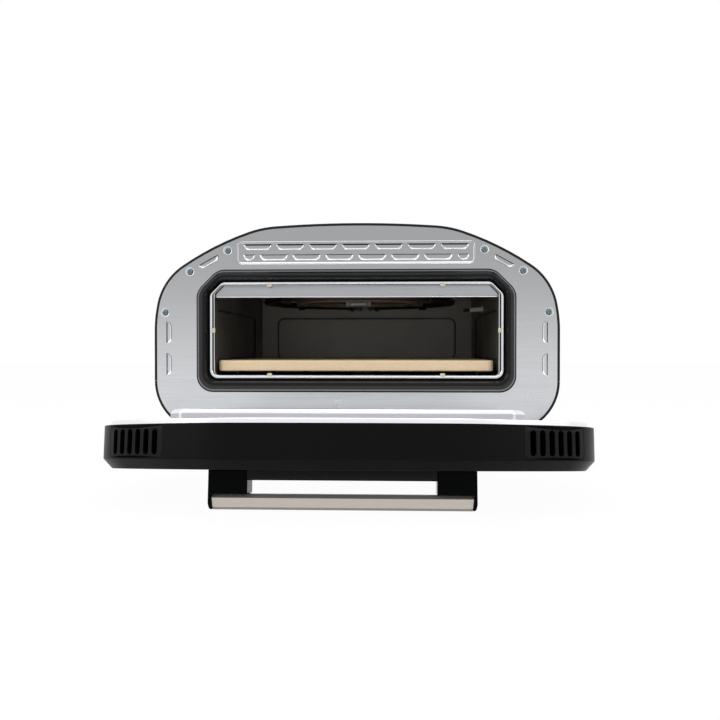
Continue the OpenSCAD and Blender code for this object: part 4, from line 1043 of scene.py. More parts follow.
@dataclass
class Face:
    """The brushed face panel with its bead, louvres, dimples and screws."""

    panel_inset: float = 2.95
    panel_t: float = 1.0
    vent_z: float = 203.7
    vent_half: float = 135.0
    vent_h: float = 26.0
    vent_r: float = 6.0
    bead_w: float = 2.2
    bead_t: float = 0.6
    louvre_w: float = 32.4
    shift: float = 0.6
    louvre_h: float = 6.8
    rows: tuple[float, float] = (206.7, 194.9)
    pitch: float = 37.2
    low_slit: float = 0.5
    short_x: float = 121.2
    short_w: float = 14.0
    slope_spot: tuple[float, float] = (61.1, -16.25)
    slope_size: tuple[float, float] = (25.5, 6.0)
    slope_lean: float = 28.9
    side_x: float = 210.05
    side_z: tuple[float, float] = (76.8, 113.0)
    side_size: tuple[float, float] = (26.0, 6.1)
    side_slit: float = 0.6
    bezel_cover: float = 0.12
    screw_turns: tuple[float, ...] = (8.6, 56.6, 65.6)
    screw_inset: float = 10.6
    head_r: float = 2.9
    head_t: float = 1.3
    dimple_r: float = 4.9
    dimple_t: float = 0.85
    dimple_slope: float = 1.4
    dimple_lip: float = 0.2
    dimple_back: float = 0.95
    bead_steps: int = 8

    def louvres(self) -> list[Louvre]:
        """List the louvres: two rows in the field, then those that follow the shoulders."""
        high, low = self.rows
        wide, tall, slit = self.louvre_w, self.louvre_h, self.low_slit
        found = [Louvre(k * self.pitch + self.shift, high, wide, tall) for k in range(-3, 4)]
        found += [Louvre((k + 0.5) * self.pitch + self.shift, low, wide, tall, slit=slit)
                  for k in range(-3, 3)]
        slope = BODY.spot(*self.slope_spot)
        for side in (-1.0, 1.0):
            found.append(Louvre(side * self.short_x + self.shift, low, self.short_w, tall,
                                slit=slit))
            found.append(Louvre(side * slope.x, slope.y, *self.slope_size,
                                -side * self.slope_lean, slit=slit))
            found += [Louvre(side * self.side_x, z, *self.side_size, -side * 90.0,
                             slit=self.side_slit) for z in self.side_z]
        return found

    def screw_spots(self) -> list[Vector]:
        """List where the face screws sit, across and up."""
        right = [BODY.spot(turn, -self.screw_inset) for turn in self.screw_turns]
        return right + [Vector((-p.x, p.y)) for p in right]

    def build(self) -> None:
        """Build the panel and its screws."""
        maker = MeshMaker()
        louvres = self.louvres()
        dimples = [disc(p.x, p.y, self.dimple_r) for p in self.screw_spots()]
        opening = BEZEL_OUT.towards(RIM_OUT, self.bezel_cover)
        holes = [*louvres, *dimples, opening]
        outline = PanelEdge(self.panel_inset)
        maker.plate(outline, 0.0, self.panel_t, (0.25, 0.05), holes=holes)
        for louvre in louvres:
            louvre.press(maker)
        r, t, back = self.dimple_r, self.dimple_t, self.dimple_back
        foot, lip = r - self.dimple_slope, r + self.dimple_lip
        for spot in self.screw_spots():
            maker.turning([(foot, t), (1.0, t), (1.0, back), (lip, back), (lip, PRESS_Y)],
                          spot.x, spot.y, ends=False)
            # The dimple's outer slope takes the painted highlight finish.
            with maker.layer(1):
                maker.turning([(lip, PRESS_Y), (r, PRESS_Y), (r - 0.3, 0.2), (foot, t)],
                              spot.x, spot.y, ends=False)
        self.build_bead(maker)
        maker.piece("pressed_face_panel", FACE_STEEL, "root", "face_panel", others=(FACE_PAINTED_HIGHLIGHT,))
        self.build_screws()

    def build_bead(self, maker: MeshMaker) -> None:
        """Raise the bead round the field of vents, with a painted highlight on its low run.

        Args:
            maker: The face panel's maker.
        """
        low, steps = self.vent_z - self.vent_h / 2.0, self.bead_steps
        field = panel(self.vent_half, low, self.vent_z + self.vent_h / 2.0, self.vent_r, 8)
        bump = [(-self.bead_w * k / steps, 0.05 - self.bead_t * math.sin(math.pi * k / steps))
                for k in range(steps + 1)]
        first = len(maker.faces)
        maker.ring(field, bump, wrap=True)
        # Faces below this height get the painted highlight finish.
        highlight_run_top = low + self.bead_w
        for number in range(first, len(maker.faces)):
            if maker.points[maker.faces[number][0]].z < highlight_run_top:
                maker.layers[number] = 1

    def build_screws(self) -> None:
        """Build the six cross-head screws of the face."""
        maker = MeshMaker()
        for spot in self.screw_spots():
            cross_head(maker, spot, self.head_r, self.head_t)
        maker.piece("cross_head_face_screws", SCREW_ZINC, "root", "face_screws")


@dataclass(frozen=True)
class PanelEdge:
    """The body's outline moved inwards."""

    inset: float

    def loop(self, grow: float = 0.0) -> Loop:
        """Draw the outline, moved outwards by grow from the inset."""
        return BODY.loop(grow - self.inset)


def cross_head(maker: MeshMaker, spot: Vector, radius: float, height: float) -> None:
    """Add one domed screw head with a cross recess, and its shank.

    Args:
        maker: The screws' maker.
        spot: Centre of the head, across and up.
        radius: Radius of the head.
        height: Height of the head.
    """
    sides, rings, shank, rim = 40, 9, 0.5, 0.35
    arm_half, arm_reach, recess = 0.13, 0.62, 0.7
    loops = []
    for depth, share in ((5.0, shank), (0.0, shank), (0.0, 1.0), (-height * rim, 1.0)):
        loops.append([Vector((spot.x + radius * share * math.cos(t), depth,
                              spot.y + radius * share * math.sin(t))) for t in spokes(sides)])
    for i in range(1, rings + 1):
        share = 1.0 - i / (rings + 0.6)
        dome = -height * (rim + (1.0 - rim) * math.sqrt(1.0 - share * share))
        ring = []
        for angle in spokes(sides):
            along, across = share * math.cos(angle), share * math.sin(angle)
            arm = min(abs(along), abs(across)) < arm_half and share < arm_reach
            ring.append(Vector((spot.x + radius * along, dome + (recess if arm else 0.0),
                                spot.y + radius * across)))
        loops.append(ring)
    maker.loft(loops)
    maker.cap(loops[0], loops[-1])


@dataclass
class MouthTrim:
    """The gloss bezel, the silver rim, its cream clips and the heat baffle."""

    lip: float = 1.2
    band_end: float = 0.74
    band_y: float = 1.7
    rim_y: float = 10.6
    rim_t: float = 1.2
    bead: float = 1.5
    clip_x: float = 99.2
    clip_size: tuple[float, float, float] = (5.4, 3.2, 3.6)
    baffle_y: float = 14.6
    baffle_lo: float = 153.7
    baffle_hi: float = 169.7
    baffle_half: float = 162.3
    baffle_cut: float = 12.0
    baffle_t: float = 1.0
    tab_x: tuple[float, ...] = (-120.0, 0.0, 120.0)
    tab_half: float = 8.0
    tab_top: float = 171.9
    hem_h: float = 1.8
    hem_y: tuple[float, float] = (-1.2, 0.4)

    def build(self) -> None:
        """Build the four parts of the trim."""
        self.build_bezel()
        self.build_rim()
        self.build_clips()
        self.build_baffle()

    def funnel(self, maker: MeshMaker, a: Mouth, b: Mouth,
               *strips: tuple[int, Sequence[Point]]) -> None:
        """Loft strips between two mouth outlines.

        Args:
            maker: The maker that they are added to.
            a: The outline at share 0.
            b: The outline at share 1.
            strips: The layer of each strip with its pairs of share and depth.
        """
        for number, steps in strips:
            with maker.layer(number):
                maker.loft([[Plane.FRONT.point(x, z, depth) for x, z in a.towards(b, share).loop()]
                            for share, depth in steps])

    def build_bezel(self) -> None:
        """Build the gloss bezel: a proud lip with a painted highlight on its crest, a dished band
        and a throat, darkened with painted shade.
        """
        crest, rim, fold, throat = -self.lip, self.rim_y, (0.5, 0.6), (0.84, 5.0)
        brow = (0.22, crest + 0.25)
        low_band = soften([fold, (self.band_end, self.band_y), (0.82, 4.5), throat], 0.6, 5)
        maker = MeshMaker()
        # Layers 1 and 3 carry painted shade, layer 2 a painted highlight.
        self.funnel(maker, BEZEL_OUT, RIM_OUT,
                    (0, [brow, (0.28, -0.4), fold]),
                    (3, low_band),
                    (1, [throat, (0.93, rim - 1.8), (1.0, rim), (0.93, rim + 0.3), (0.5, 3.0),
                         (0.2, 0.4), (0.0, 0.2)]),
                    (1, [(0.0, 0.2), (0.0, crest + 0.3), (0.03, crest), (0.1, crest)]),
                    (2, [(0.1, crest), (0.15, crest + 0.02), brow]))
        maker.piece("gloss_bezel", BEZEL_GLOSS, "root", "bezel",
                    others=(BEZEL_THROAT_PAINTED_SHADE, BEZEL_PAINTED_HIGHLIGHT, BEZEL_BAND_PAINTED_SHADE))

    def build_rim(self) -> None:
        """Build the silver rim: a rolled bead, a groove darkened with painted shade and a thin lip
        round the mouth.
        """
        floor, back = self.rim_y, self.rim_y + self.rim_t
        arch = [(0.5 - 0.5 * math.cos(t), floor - self.bead * math.sin(t))
                for t in (math.pi * k / 14.0 for k in range(15))]
        groove = [(0.0, floor), (0.05, back), (0.5, back), (0.56, floor)]
        lip = [(0.56, floor), (0.64, floor - 0.5), (0.92, floor - 0.5), (1.0, floor - 0.1),
               (1.0, back + 0.4), (0.0, back + 0.4)]
        maker = MeshMaker()
        self.funnel(maker, RIM_OUT, BEAD_IN, (0, [(0.9, back), (-0.3, back), (-0.3, floor), *arch]))
        self.funnel(maker, BEAD_IN, MOUTH_IN, (1, groove), (0, lip))
        maker.piece("beaded_mouth_rim", RIM_SILVER, "root", "mouth_rim", others=(RIM_GROOVE_PAINTED_SHADE,))

    def build_clips(self) -> None:
        """Build the small cream clips that hold the rim."""
        maker = MeshMaker()
        w, d, h = (size / 2.0 for size in self.clip_size)
        lying, standing = panel(w, -h, h, 0.8, 4), panel(h, -w, w, 0.8, 4)
        middle, edge = (MOUTH_IN.lo + MOUTH_IN.hi) / 2.0, BEAD_IN.half - 1.2
        clips = [lying.moved(x, z) for z in (MOUTH_IN.lo + 0.4, BEAD_IN.hi - 0.8)
                 for x in (-self.clip_x, self.clip_x)]
        for clip in [*clips, standing.moved(-edge, middle), standing.moved(edge, middle)]:
            maker.plate(clip, self.rim_y - d, self.rim_y + d, (0.5, 0.2))
        maker.piece("cream_rim_clips", CLIP_CREAM, "root", "rim_clips")

    def build_baffle(self) -> None:
        """Build the heat baffle behind the top of the mouth, with its folded hem in a painted
        highlight.
        """
        maker = MeshMaker()
        half, cut, lo, hi = self.baffle_half, self.baffle_cut, self.baffle_lo, self.baffle_hi
        front, back = self.baffle_y, self.baffle_y + self.baffle_t
        shape = Shape(((-half, lo, 0.6), (half, lo, 0.6), (half, hi - cut, 5.0),
                       (half - cut, hi, 5.0), (cut - half, hi, 5.0), (-half, hi - cut, 5.0)), 5)
        maker.plate(shape, front, back, (0.3, 0.3))
        (fold, end), top = (front + reach for reach in self.hem_y), lo + self.hem_h
        hem = Shape(((fold, lo, 0.9), (end, lo, 0.3), (end, top, 0.3), (fold, top, 0.9)), 4)
        # The hem takes the painted highlight finish.
        with maker.layer(1):
            maker.plate(hem, 1.0 - half, half - 1.0, (0.5, 0.5), Plane.SIDE)
        tab = panel(self.tab_half, hi - 2.0, self.tab_top, 0.4, 2)
        for x in self.tab_x:
            maker.plate(tab.moved(x, 0.0), front, back, (0.1, 0.1))
        maker.piece("hemmed_heat_baffle", BAFFLE_SILVER, "root", "heat_baffle",
                    others=(BAFFLE_HEM_PAINTED_HIGHLIGHT,))


@dataclass(frozen=True)
class Element:
    """One sheathed heating element: a ring whose two tails run to the back wall."""

    name: str
    node: str
    radius: float
    tube_r: float
    tail_x: float
    z: float
    finish: Finish


UPPER_Z, LOWER_Z = 156.5, 57.0


@dataclass
class Cavity:
    """The enamelled walls, the heating elements, the probe, the sensor and the stone."""

    half: float = 163.0
    front: float = 12.0
    back: float = 360.0
    floor: float = 45.0
    ceiling: float = 172.0
    emboss: float = 1.5
    ring_x: float = -2.5
    ring_y: float = 174.5
    tail_y: float = 378.3
    field_ease: float = 1.4
    back_field: tuple[float, float, float] = (137.8, 79.0, 141.5)
    side_field: tuple[float, float, float] = (134.5, 82.0, 140.0)
    side_middle: float = 159.5
    probe_yz: tuple[float, float] = (185.0, 148.0)
    probe_tilt: float = 4.0
    sensor_shift: tuple[float, float, float] = (-1.5, -3.95, -2.25)
    stone_half: float = 159.2
    stone_y: float = 16.5
    stone_top: float = 81.3
    stone_t: float = 12.4
    stone_shift: float = 1.2
    elements: tuple[Element, ...] = (
        Element("upper_outer_tube", "upper_outer_element", 123.0, 4.0, 19.0, UPPER_Z, ELEMENT_DARK),
        Element("upper_inner_tube", "upper_inner_element", 77.0, 3.25, 8.5, UPPER_Z, ELEMENT_BROWN),
        Element("lower_tube", "lower_element", 112.0, 4.0, 19.0, LOWER_Z, ELEMENT_DARK))

    def build(self) -> None:
        """Build the walls, elements, probe, sensor and stone."""
        self.build_walls()
        for element in self.elements:
            self.build_element(element)
        self.build_probe()
        self.build_stone()

    def embossed(self, outer: Shape, field: Shape, base: float, rise: float,
                 plane: Plane, back: float) -> MeshMaker:
        """Make a wall with one softly pressed field, whose slope takes the wall's second finish,
        painted shade.

        Args:
            outer: The wall's outline.
            field: The field's outline.
            base: Depth of the wall.
            rise: How far the field stands from it, with its sign.
            plane: The plane of the wall.
            back: Depth of the wall's other face.

        Returns:
            The maker that holds the wall.
        """
        maker = MeshMaker()
        ease = self.field_ease
        maker.sheet(outer.loop(), [field.loop(ease)], base, plane)
        slope = [(ease - 2.0 * ease * k / 8.0,
                  base + rise * (0.5 - 0.5 * math.cos(math.pi * k / 8.0))) for k in range(9)]
        # The field's slope takes painted shade.
        with maker.layer(1):
            maker.ring(field, slope, plane)
        maker.sheet(field.loop(-ease), [], base + rise, plane)
        maker.ring(outer, [(0.0, base), (0.0, back)], plane)
        maker.sheet(outer.loop(), [], back, plane)
        return maker

    def build_walls(self) -> None:
        """Build the back wall and the two side walls with their pressed fields."""
        outer = panel(self.half, self.floor, self.ceiling, 0.2, 2)
        field = panel(*self.back_field, 9.0, 8)
        maker = self.embossed(outer, field, self.back, -2.0 * self.emboss, Plane.FRONT,
                              self.back + 1.0)
        maker.piece("pressed_back_wall", CAVITY_ENAMEL, "root", "cavity_back_wall",
                    others=(BACK_FIELD_PAINTED_SHADE,))
        middle, reach = (self.front + self.back) / 2.0, (self.back - self.front) / 2.0
        outer = panel(reach, self.floor, self.ceiling, 0.2, 2).moved(middle, 0.0)
        field = panel(*self.side_field, 10.0, 8).moved(self.side_middle, 0.0)
        # The side walls carry a darker copy of the enamel: painted shade.
        for side, word in ((-1.0, "left"), (1.0, "right")):
            x = side * self.half
            maker = self.embossed(outer, field, x, side * self.emboss, Plane.SIDE, x + side * 2.5)
            maker.piece(f"pressed_{word}_wall", SIDE_WALL_PAINTED_SHADE, "root", f"cavity_{word}_wall",
                        others=(SIDE_FIELD_PAINTED_SHADE,))

    def build_element(self, element: Element) -> None:
        """Bend one heating element and sleeve its tails.

        Args:
            element: The element's sizes, finish and names.
        """
        bend, radius, tube_r, tail_x = 9.0, element.radius, element.tube_r, element.tail_x
        opening = math.asin(tail_x / radius)
        first = math.pi / 2.0 + opening + bend / radius
        last = math.pi * 2.5 - opening - bend / radius
        ring = [Vector((radius * math.cos(t), radius * math.sin(t), 0.0))
                for t in (first + (last - first) * k / 120.0 for k in range(121))]
        corner_y = radius * math.cos(opening)
        path = []
        for side, end in ((-1.0, ring[0]), (1.0, ring[-1])):
            corner = Vector((side * tail_x, corner_y, 0.0))
            leave = corner + Vector((0.0, bend, 0.0))
            turn = [leave * (1.0 - t) ** 2 + corner * (2.0 * t * (1.0 - t)) + end * t ** 2
                    for t in (k / 8.0 for k in range(9))]
            tail = [Vector((side * tail_x, self.tail_y - self.ring_y, 0.0)), *turn]
            path = tail[:-1] + ring if side < 0.0 else path + tail[::-1][1:]
        centre = Vector((self.ring_x, self.ring_y, element.z))
        maker = MeshMaker()
        maker.sweep([p + centre for p in path], tube_r, UP)
        first_y, sleeve = self.ring_y + corner_y + 24.0, tube_r + 0.4
        stations = [(first_y, tube_r), (first_y + 0.8, sleeve), (self.back - 6.0, sleeve),
                    (self.tail_y, sleeve)]
        for side in (-1.0, 1.0):
            tail = Vector((self.ring_x + side * tail_x, 0.0, element.z))
            maker.rod(stations, tail, Vector((0.0, 1.0, 0.0)), UP)
        maker.piece(element.name, element.finish, "root", element.node)

    def build_probe(self) -> None:
        """Build the temperature probe on the right wall and the sensor on its bracket."""
        tilt = math.radians(self.probe_tilt)
        base = Vector((self.half, *self.probe_yz))
        along = Vector((-math.cos(tilt), 0.0, -math.sin(tilt)))
        up = Vector((0.0, 1.0, 0.0))
        sleeve = MeshMaker()
        sleeve.rod([(-4.0, 3.1), (0.1, 3.1), (0.2, 4.2), (1.2, 4.2), (1.3, 3.1), (17.2, 3.1),
                    (17.8, 2.8), (18.0, 2.3)], base, along, up)
        sleeve.piece("probe_collar_and_sleeve", SLEEVE_CERAMIC, "root", "probe_sleeve")
        tip = MeshMaker()
        tip.rod([(18.0, 2.2), (25.0, 2.2), (26.2, 1.9), (26.8, 1.2), (27.0, 0.4)], base, along, up)
        tip.piece("rounded_probe_tip", ELEMENT_DARK, "root", "probe_tip")
        sensor = MeshMaker()
        dx, dy, dz = self.sensor_shift
        centre = Vector((self.ring_x + dx, self.ring_y + dy, UPPER_Z + dz))
        half_rod = [(7.8, 2.45), (8.0, 2.75), (10.4, 2.75), (11.2, 1.9), (11.5, 0.8)]
        sensor.rod([(-d, r) for d, r in reversed(half_rod)] + half_rod, centre,
                   Vector((1.0, 0.0, 0.0)), UP)
        sensor.piece("capped_centre_sensor", SENSOR_STEEL, "root", "centre_sensor")

    def build_stone(self) -> None:
        """Build the pizza stone with worn-round edges."""
        maker = MeshMaker()
        half, shift, front = self.stone_half, self.stone_shift, self.stone_y
        plan = panel(half, front, front + 2.0 * (half - shift), 8.0, 8).moved(-shift, 0.0)
        maker.plate(plan, self.stone_top - self.stone_t, self.stone_top, (1.8, 1.8), Plane.PLAN)
        maker.piece("cordierite_stone", CORDIERITE, "root", "pizza_stone")


@dataclass
class Door:
    """The drop-down door: shell, shoulder vents, bright liner with its plug, and two panes."""

    rim: float = -7.0
    wall_top: float = -8.0
    wall_low: float = -36.4
    wall_end: float = -37.3
    face: float = -46.3
    wall_t: float = 2.0
    bevel_w: float = 8.15
    front_ring: float = -12.0
    sheet_y: float = -2.6
    sheet_t: float = 1.2
    hem_y: float = -7.6
    plug_y: float = 9.0
    plug_ease: float = 3.5
    vent_deep: float = -35.7
    slot_pitch: float = 10.0
    slot_r: float = 3.1
    slot_y: tuple[float, float] = (-33.6, -11.2)
    window: tuple[float, float, float] = (130.0, 84.0, 146.0)
    glass: tuple[float, float, float] = (150.0, 76.0, 154.0)
    window_r: float = 10.0
    glass_r: float = 8.0
    pane_t: float = 4.0
    pane_gap: float = 0.3
    pane_lap: float = 8.0
    sheet_in: float = -16.0
    crown_in: float = -8.0

    def build(self) -> None:
        """Build every part of the door but the handle and the controls."""
        edges = tuple(BODY.turn_over(VENT_TURN, u) for u in (-VENT_ROOM, VENT_ROOM))
        outline = BodyOutline(more_turns=edges)
        self.build_shell(outline, edges)
        self.build_vents()
        self.build_liner()
        self.build_glass()

    def vent_shape(self, grow: float) -> Shape:
        """Draw a vent panel, along the shoulder and in depth, moved outwards by grow."""
        half, top, low = VENT_HALF + grow, self.wall_top - 0.5 + grow, self.vent_deep - grow
        return Shape(((-half, low, 5.0), (half, low, 5.0), (half, top, 1.0), (-half, top, 1.0)), 6)

    def on_wall(self, maker: MeshMaker, outer: Loop, holes: Sequence[Loop], grow: float,
                side: float, grid: float) -> None:
        """Fill a curved patch that follows the shoulder.

        Args:
            maker: The piece's maker.
            outer: Outer loop, along the shoulder and in depth.
            holes: Loops left open.
            grow: How far the patch stands out from the body's outline.
            side: 1 for the right shoulder, -1 for the left.
            grid: Spacing of extra points.
        """
        flat, faces = filled(outer, holes, grid)
        numbers = maker.add(self.wall_point(u, y, grow, side) for u, y in flat)
        maker.faces += [[numbers[i] for i in face] for face in faces]

    def wall_point(self, u: float, y: float, grow: float, side: float) -> Vector:
        """Place a point at a distance along a shoulder's tangent and at a depth."""
        spot = BODY.over(VENT_TURN, u, grow)
        return Vector((side * spot.x, y, spot.y))

    def build_shell(self, outline: BodyOutline, edges: tuple[float, ...]) -> None:
        """Build the pressed door shell with its bevel and the openings of its front.

        Args:
            outline: The body's outline, sampled also where the vents' patches end.
            edges: The headings where those patches end.
        """
        maker = MeshMaker(Space.DOOR)
        out, into = DOOR_OVER, DOOR_OVER - self.wall_t
        top = soften([(-3.7, self.rim), (out, self.rim), (out, self.wall_top - 0.2)], 0.9)
        low = soften([(out, self.wall_low + 0.5), (out, self.wall_end),
                      (out - self.bevel_w, self.face), (self.front_ring, self.face)], 1.0, 5)
        outer = [*top[:-1], (out, self.wall_top), (out, self.wall_low), *low[1:]]
        inner = [(self.front_ring, self.face + self.wall_t),
                 (out - self.bevel_w - 0.8, self.face + self.wall_t), (into, self.wall_end + 0.8),
                 (into, self.wall_low), (into, self.wall_top), (into, self.rim - 2.0),
                 (-3.7, self.rim - 2.0)]
        profile = outer + inner
        rows = [outer.index((out, self.wall_top)),
                len(outer) + inner.index((into, self.wall_low))]
        loops = [[Plane.FRONT.point(a, b, depth) for a, b in outline.loop(grow)]
                 for grow, depth in profile]
        first_upper = len(outline.lower(0.0))
        count, last = len(loops[0]), len(outline.turns) - 1
        lo, hi = (outline.turns.index(edge) for edge in edges)
        columns = [first_upper + k for k in range(lo, hi)]
        columns += [first_upper + 2 * last - k - 1 for k in range(lo, hi)]
        skip = {(row, column % count) for row in rows for column in columns}
        maker.loft(loops, wrap=True, skip=skip)
        ring = outline.loop(self.front_ring)
        openings = [self.pane(0.0), ControlPanel().outline(0.2)]
        for depth in (self.face, self.face + self.wall_t):
            maker.sheet(ring, [shape.loop() for shape in openings], depth)
        for shape in openings:
            maker.ring(shape, [(0.0, self.face), (0.0, self.face + self.wall_t)])
        self.patch_wall(maker, outline, edges)
        maker.piece("pressed_door_shell", DOOR_BLACK, "door", "door_shell")

    def patch_wall(self, maker: MeshMaker, outline: BodyOutline, edges: tuple[float, ...]) -> None:
        """Close the wall round each vent panel.

        Args:
            maker: The shell's maker.
            outline: The outline with the patches' ends.
            edges: The headings where the patches end.
        """
        angle = math.radians(VENT_TURN)
        tangent, base = Vector((-math.sin(angle), math.cos(angle))), BODY.spot(VENT_TURN)
        alongs = [(outline.spot(t, DOOR_OVER) - base).dot(tangent) for t in outline.turns
                  if edges[0] <= t <= edges[1]]
        outer = [(u, self.wall_low) for u in alongs] + [(u, self.wall_top) for u in alongs[::-1]]
        hole = self.vent_shape(0.35).loop()
        for side in (-1.0, 1.0):
            for grow in (DOOR_OVER, DOOR_OVER - self.wall_t):
                self.on_wall(maker, outer, [hole], grow, side, 4.0)
            maker.loft([[self.wall_point(u, y, grow, side) for u, y in hole]
                        for grow in (DOOR_OVER, DOOR_OVER - self.wall_t)])

    def build_vents(self) -> None:
        """Build the two slotted vent panels that follow the shoulders."""
        maker = MeshMaker(Space.DOOR)
        shape = self.vent_shape(0.0)
        slot = panel(self.slot_r, *self.slot_y, self.slot_r - 0.01)
        slots = [slot.moved((k - 2.5) * self.slot_pitch, 0.0) for k in range(6)]
        faces = (DOOR_OVER - 0.1, DOOR_OVER - self.wall_t + 0.2)
        for side in (-1.0, 1.0):
            for grow in faces:
                self.on_wall(maker, shape.loop(), [s.loop() for s in slots], grow, side, 2.5)
            for edge in (shape, *slots):
                maker.loft([[self.wall_point(u, y, grow, side) for u, y in edge.loop()]
                            for grow in faces])
        maker.piece("slotted_shoulder_vents", VENT_BLACK, "door", "door_vents")

    def build_liner(self) -> None:
        """Build the bright inner panel: rolled edge, flat sheet and the plug with its window; the
        plug's wall carries painted shade.
        """
        maker = MeshMaker(Space.DOOR)
        sheet, back, start = self.sheet_y, self.sheet_y - self.sheet_t, self.sheet_in
        edge = soften([(start, sheet), (-4.0, sheet), (-4.0, self.hem_y)], 1.2)
        maker.ring(BODY, [*edge, (-5.2, self.hem_y), (-5.2, back), (start, back)])
        foot = PLUG_OUT.loop(1.6)
        for depth, plug in ((sheet, foot), (back, PLUG_OUT.loop(-self.sheet_t))):
            maker.sheet(BODY.loop(start), [plug], depth)
        crown, flat = self.plug_y, self.crown_in
        wall = soften([(1.6, sheet), (0.0, sheet), (0.0, crown - 3.0),
                       (-self.plug_ease, crown), (flat, crown)], 1.5, 5)
        # The base fillet and side wall of the plug take painted shade; the crown stays bright.
        painted_shade_end = 2 * len(wall) // 5
        with maker.layer(1):
            maker.ring(PLUG_OUT, wall[:painted_shade_end])
        maker.ring(PLUG_OUT, wall[painted_shade_end - 1:])
        window = self.window_shape(0.0)
        maker.sheet(PLUG_OUT.loop(flat), [window.loop(0.6)], crown)
        maker.ring(window, [(-g, d) for g, d in eased(crown - self.sheet_t, crown, 0.0, 0.6)])
        maker.sheet(PLUG_OUT.loop(flat), [window.loop()], crown - self.sheet_t)
        maker.ring(PLUG_OUT, [(flat, crown - self.sheet_t), (-4.4, crown - self.sheet_t),
                              (-self.sheet_t, crown - 4.6), (-self.sheet_t, back)])
        maker.piece("bright_liner_and_plug", LINER_BRIGHT, "door", "door_inner_panel",
                    others=(PLUG_WALL_PAINTED_SHADE,))

    def window_shape(self, grow: float) -> Shape:
        """Draw the inner window, moved outwards by grow."""
        half, lo, hi = self.window
        return panel(half + grow, lo - grow, hi + grow, self.window_r + grow, 8)

    def pane(self, grow: float) -> Shape:
        """Draw the outer pane's pocket, moved outwards by grow."""
        half, lo, hi = self.glass
        return panel(half + grow, lo - grow, hi + grow, self.glass_r + grow, 8)

    def build_glass(self) -> None:
        """Build the dark outer pane and the clear inner pane."""
        outer = MeshMaker(Space.DOOR)
        outer.plate(self.pane(-self.pane_gap), self.face, self.face + self.pane_t, (0.5, 0.3))
        outer.piece("outer_window_pane", GLASS_DARK, "door", "outer_glass")
        inner = MeshMaker(Space.DOOR)
        top = self.plug_y - self.sheet_t
        inner.plate(self.window_shape(self.pane_lap), top - self.pane_t, top, (0.3, 0.3))
        inner.piece("inner_window_pane", GLASS_CLEAR, "door", "inner_glass")


@dataclass
class Handle:
    """The bulged plate, the two posts and the brushed bar across them."""

    face: float = -46.3
    plate_t: float = 8.8
    post_in: float = 81.0
    post_out: float = 115.0
    post_z: tuple[float, float] = (184.0, 211.0)
    plate_z: tuple[float, float] = (184.0, 214.0)
    bar_half: float = 112.8
    bar_y: tuple[float, float] = (-80.2, -67.0)
    bar_z: tuple[float, float] = (187.0, 208.0)
    slant: float = 1.6
    front_bevel: float = 2.2
    back_bevel: float = 3.2

    def build(self) -> None:
        """Build the plate, the posts and the bar."""
        self.build_plate()
        self.build_posts()
        self.build_bar()

    def build_plate(self) -> None:
        """Build the plate between the posts, rolled over at its edges."""
        maker = MeshMaker(Space.DOOR)
        lo, hi = self.plate_z
        front, r = self.face - self.plate_t, self.plate_t / 2.0
        shape = Shape(((front, lo, r), (self.face, lo, 0.3), (self.face, hi, 0.3),
                       (front, hi, r)), 8)
        maker.plate(shape, -self.post_in, self.post_in, (0.2, 0.2), Plane.SIDE)
        maker.piece("rolled_handle_plate", PLATE_BLACK, "door", "handle_plate")

    def build_posts(self) -> None:
        """Build the two posts, each notched for the bar and closed over its end."""
        maker = MeshMaker(Space.DOOR)
        front, seat = self.bar_y[0] + 0.3, self.bar_y[1]
        inner, outer, lip = self.post_in, self.post_out, self.bar_half + 0.1
        right = ((inner, seat, 1.4), (lip, seat, 0.3), (lip - self.slant, front, 0.3),
                 (outer - 1.4, front, 2.6), (outer, front + 5.0, 3.0), (outer, self.face, 0.3),
                 (inner, self.face, 0.3))
        left = tuple((-x, y, r) for x, y, r in reversed(right))
        for corners in (right, left):
            maker.plate(Shape(corners, 6), *self.post_z, (1.0, 1.0), Plane.PLAN)
        maker.piece("notched_handle_posts", HANDLE_BLACK, "door", "handle_posts")

    def build_bar(self) -> None:
        """Build the bar with its narrow front bevels and wide back bevels."""
        maker = MeshMaker(Space.DOOR)
        (front, back), (lo, hi) = self.bar_y, self.bar_z
        f, b = self.front_bevel, self.back_bevel
        shape = Shape(((front, lo + f, 0.4), (front + f, lo, 0.4), (back - b, lo, 0.4),
                       (back, lo + b, 0.4), (back, hi - b, 0.4), (back - b, hi, 0.4),
                       (front + f, hi, 0.4), (front, hi - f, 0.4)), 3)
        maker.plate(shape, -self.bar_half, self.bar_half, (0.4, 0.4), Plane.SIDE)
        for spot in maker.points:
            inwards = self.slant * (back - spot.y) / (back - front)
            spot.x -= math.copysign(inwards, spot.x)
        for number, face in enumerate(maker.faces):
            normal = maker.normal(face)
            if min(abs(normal.y), abs(normal.z)) > 0.4:
                maker.layers[number] = 1
        maker.piece("bevelled_handle_bar", HANDLE_STEEL, "door", "handle_bar",
                    others=(HANDLE_EDGE,))


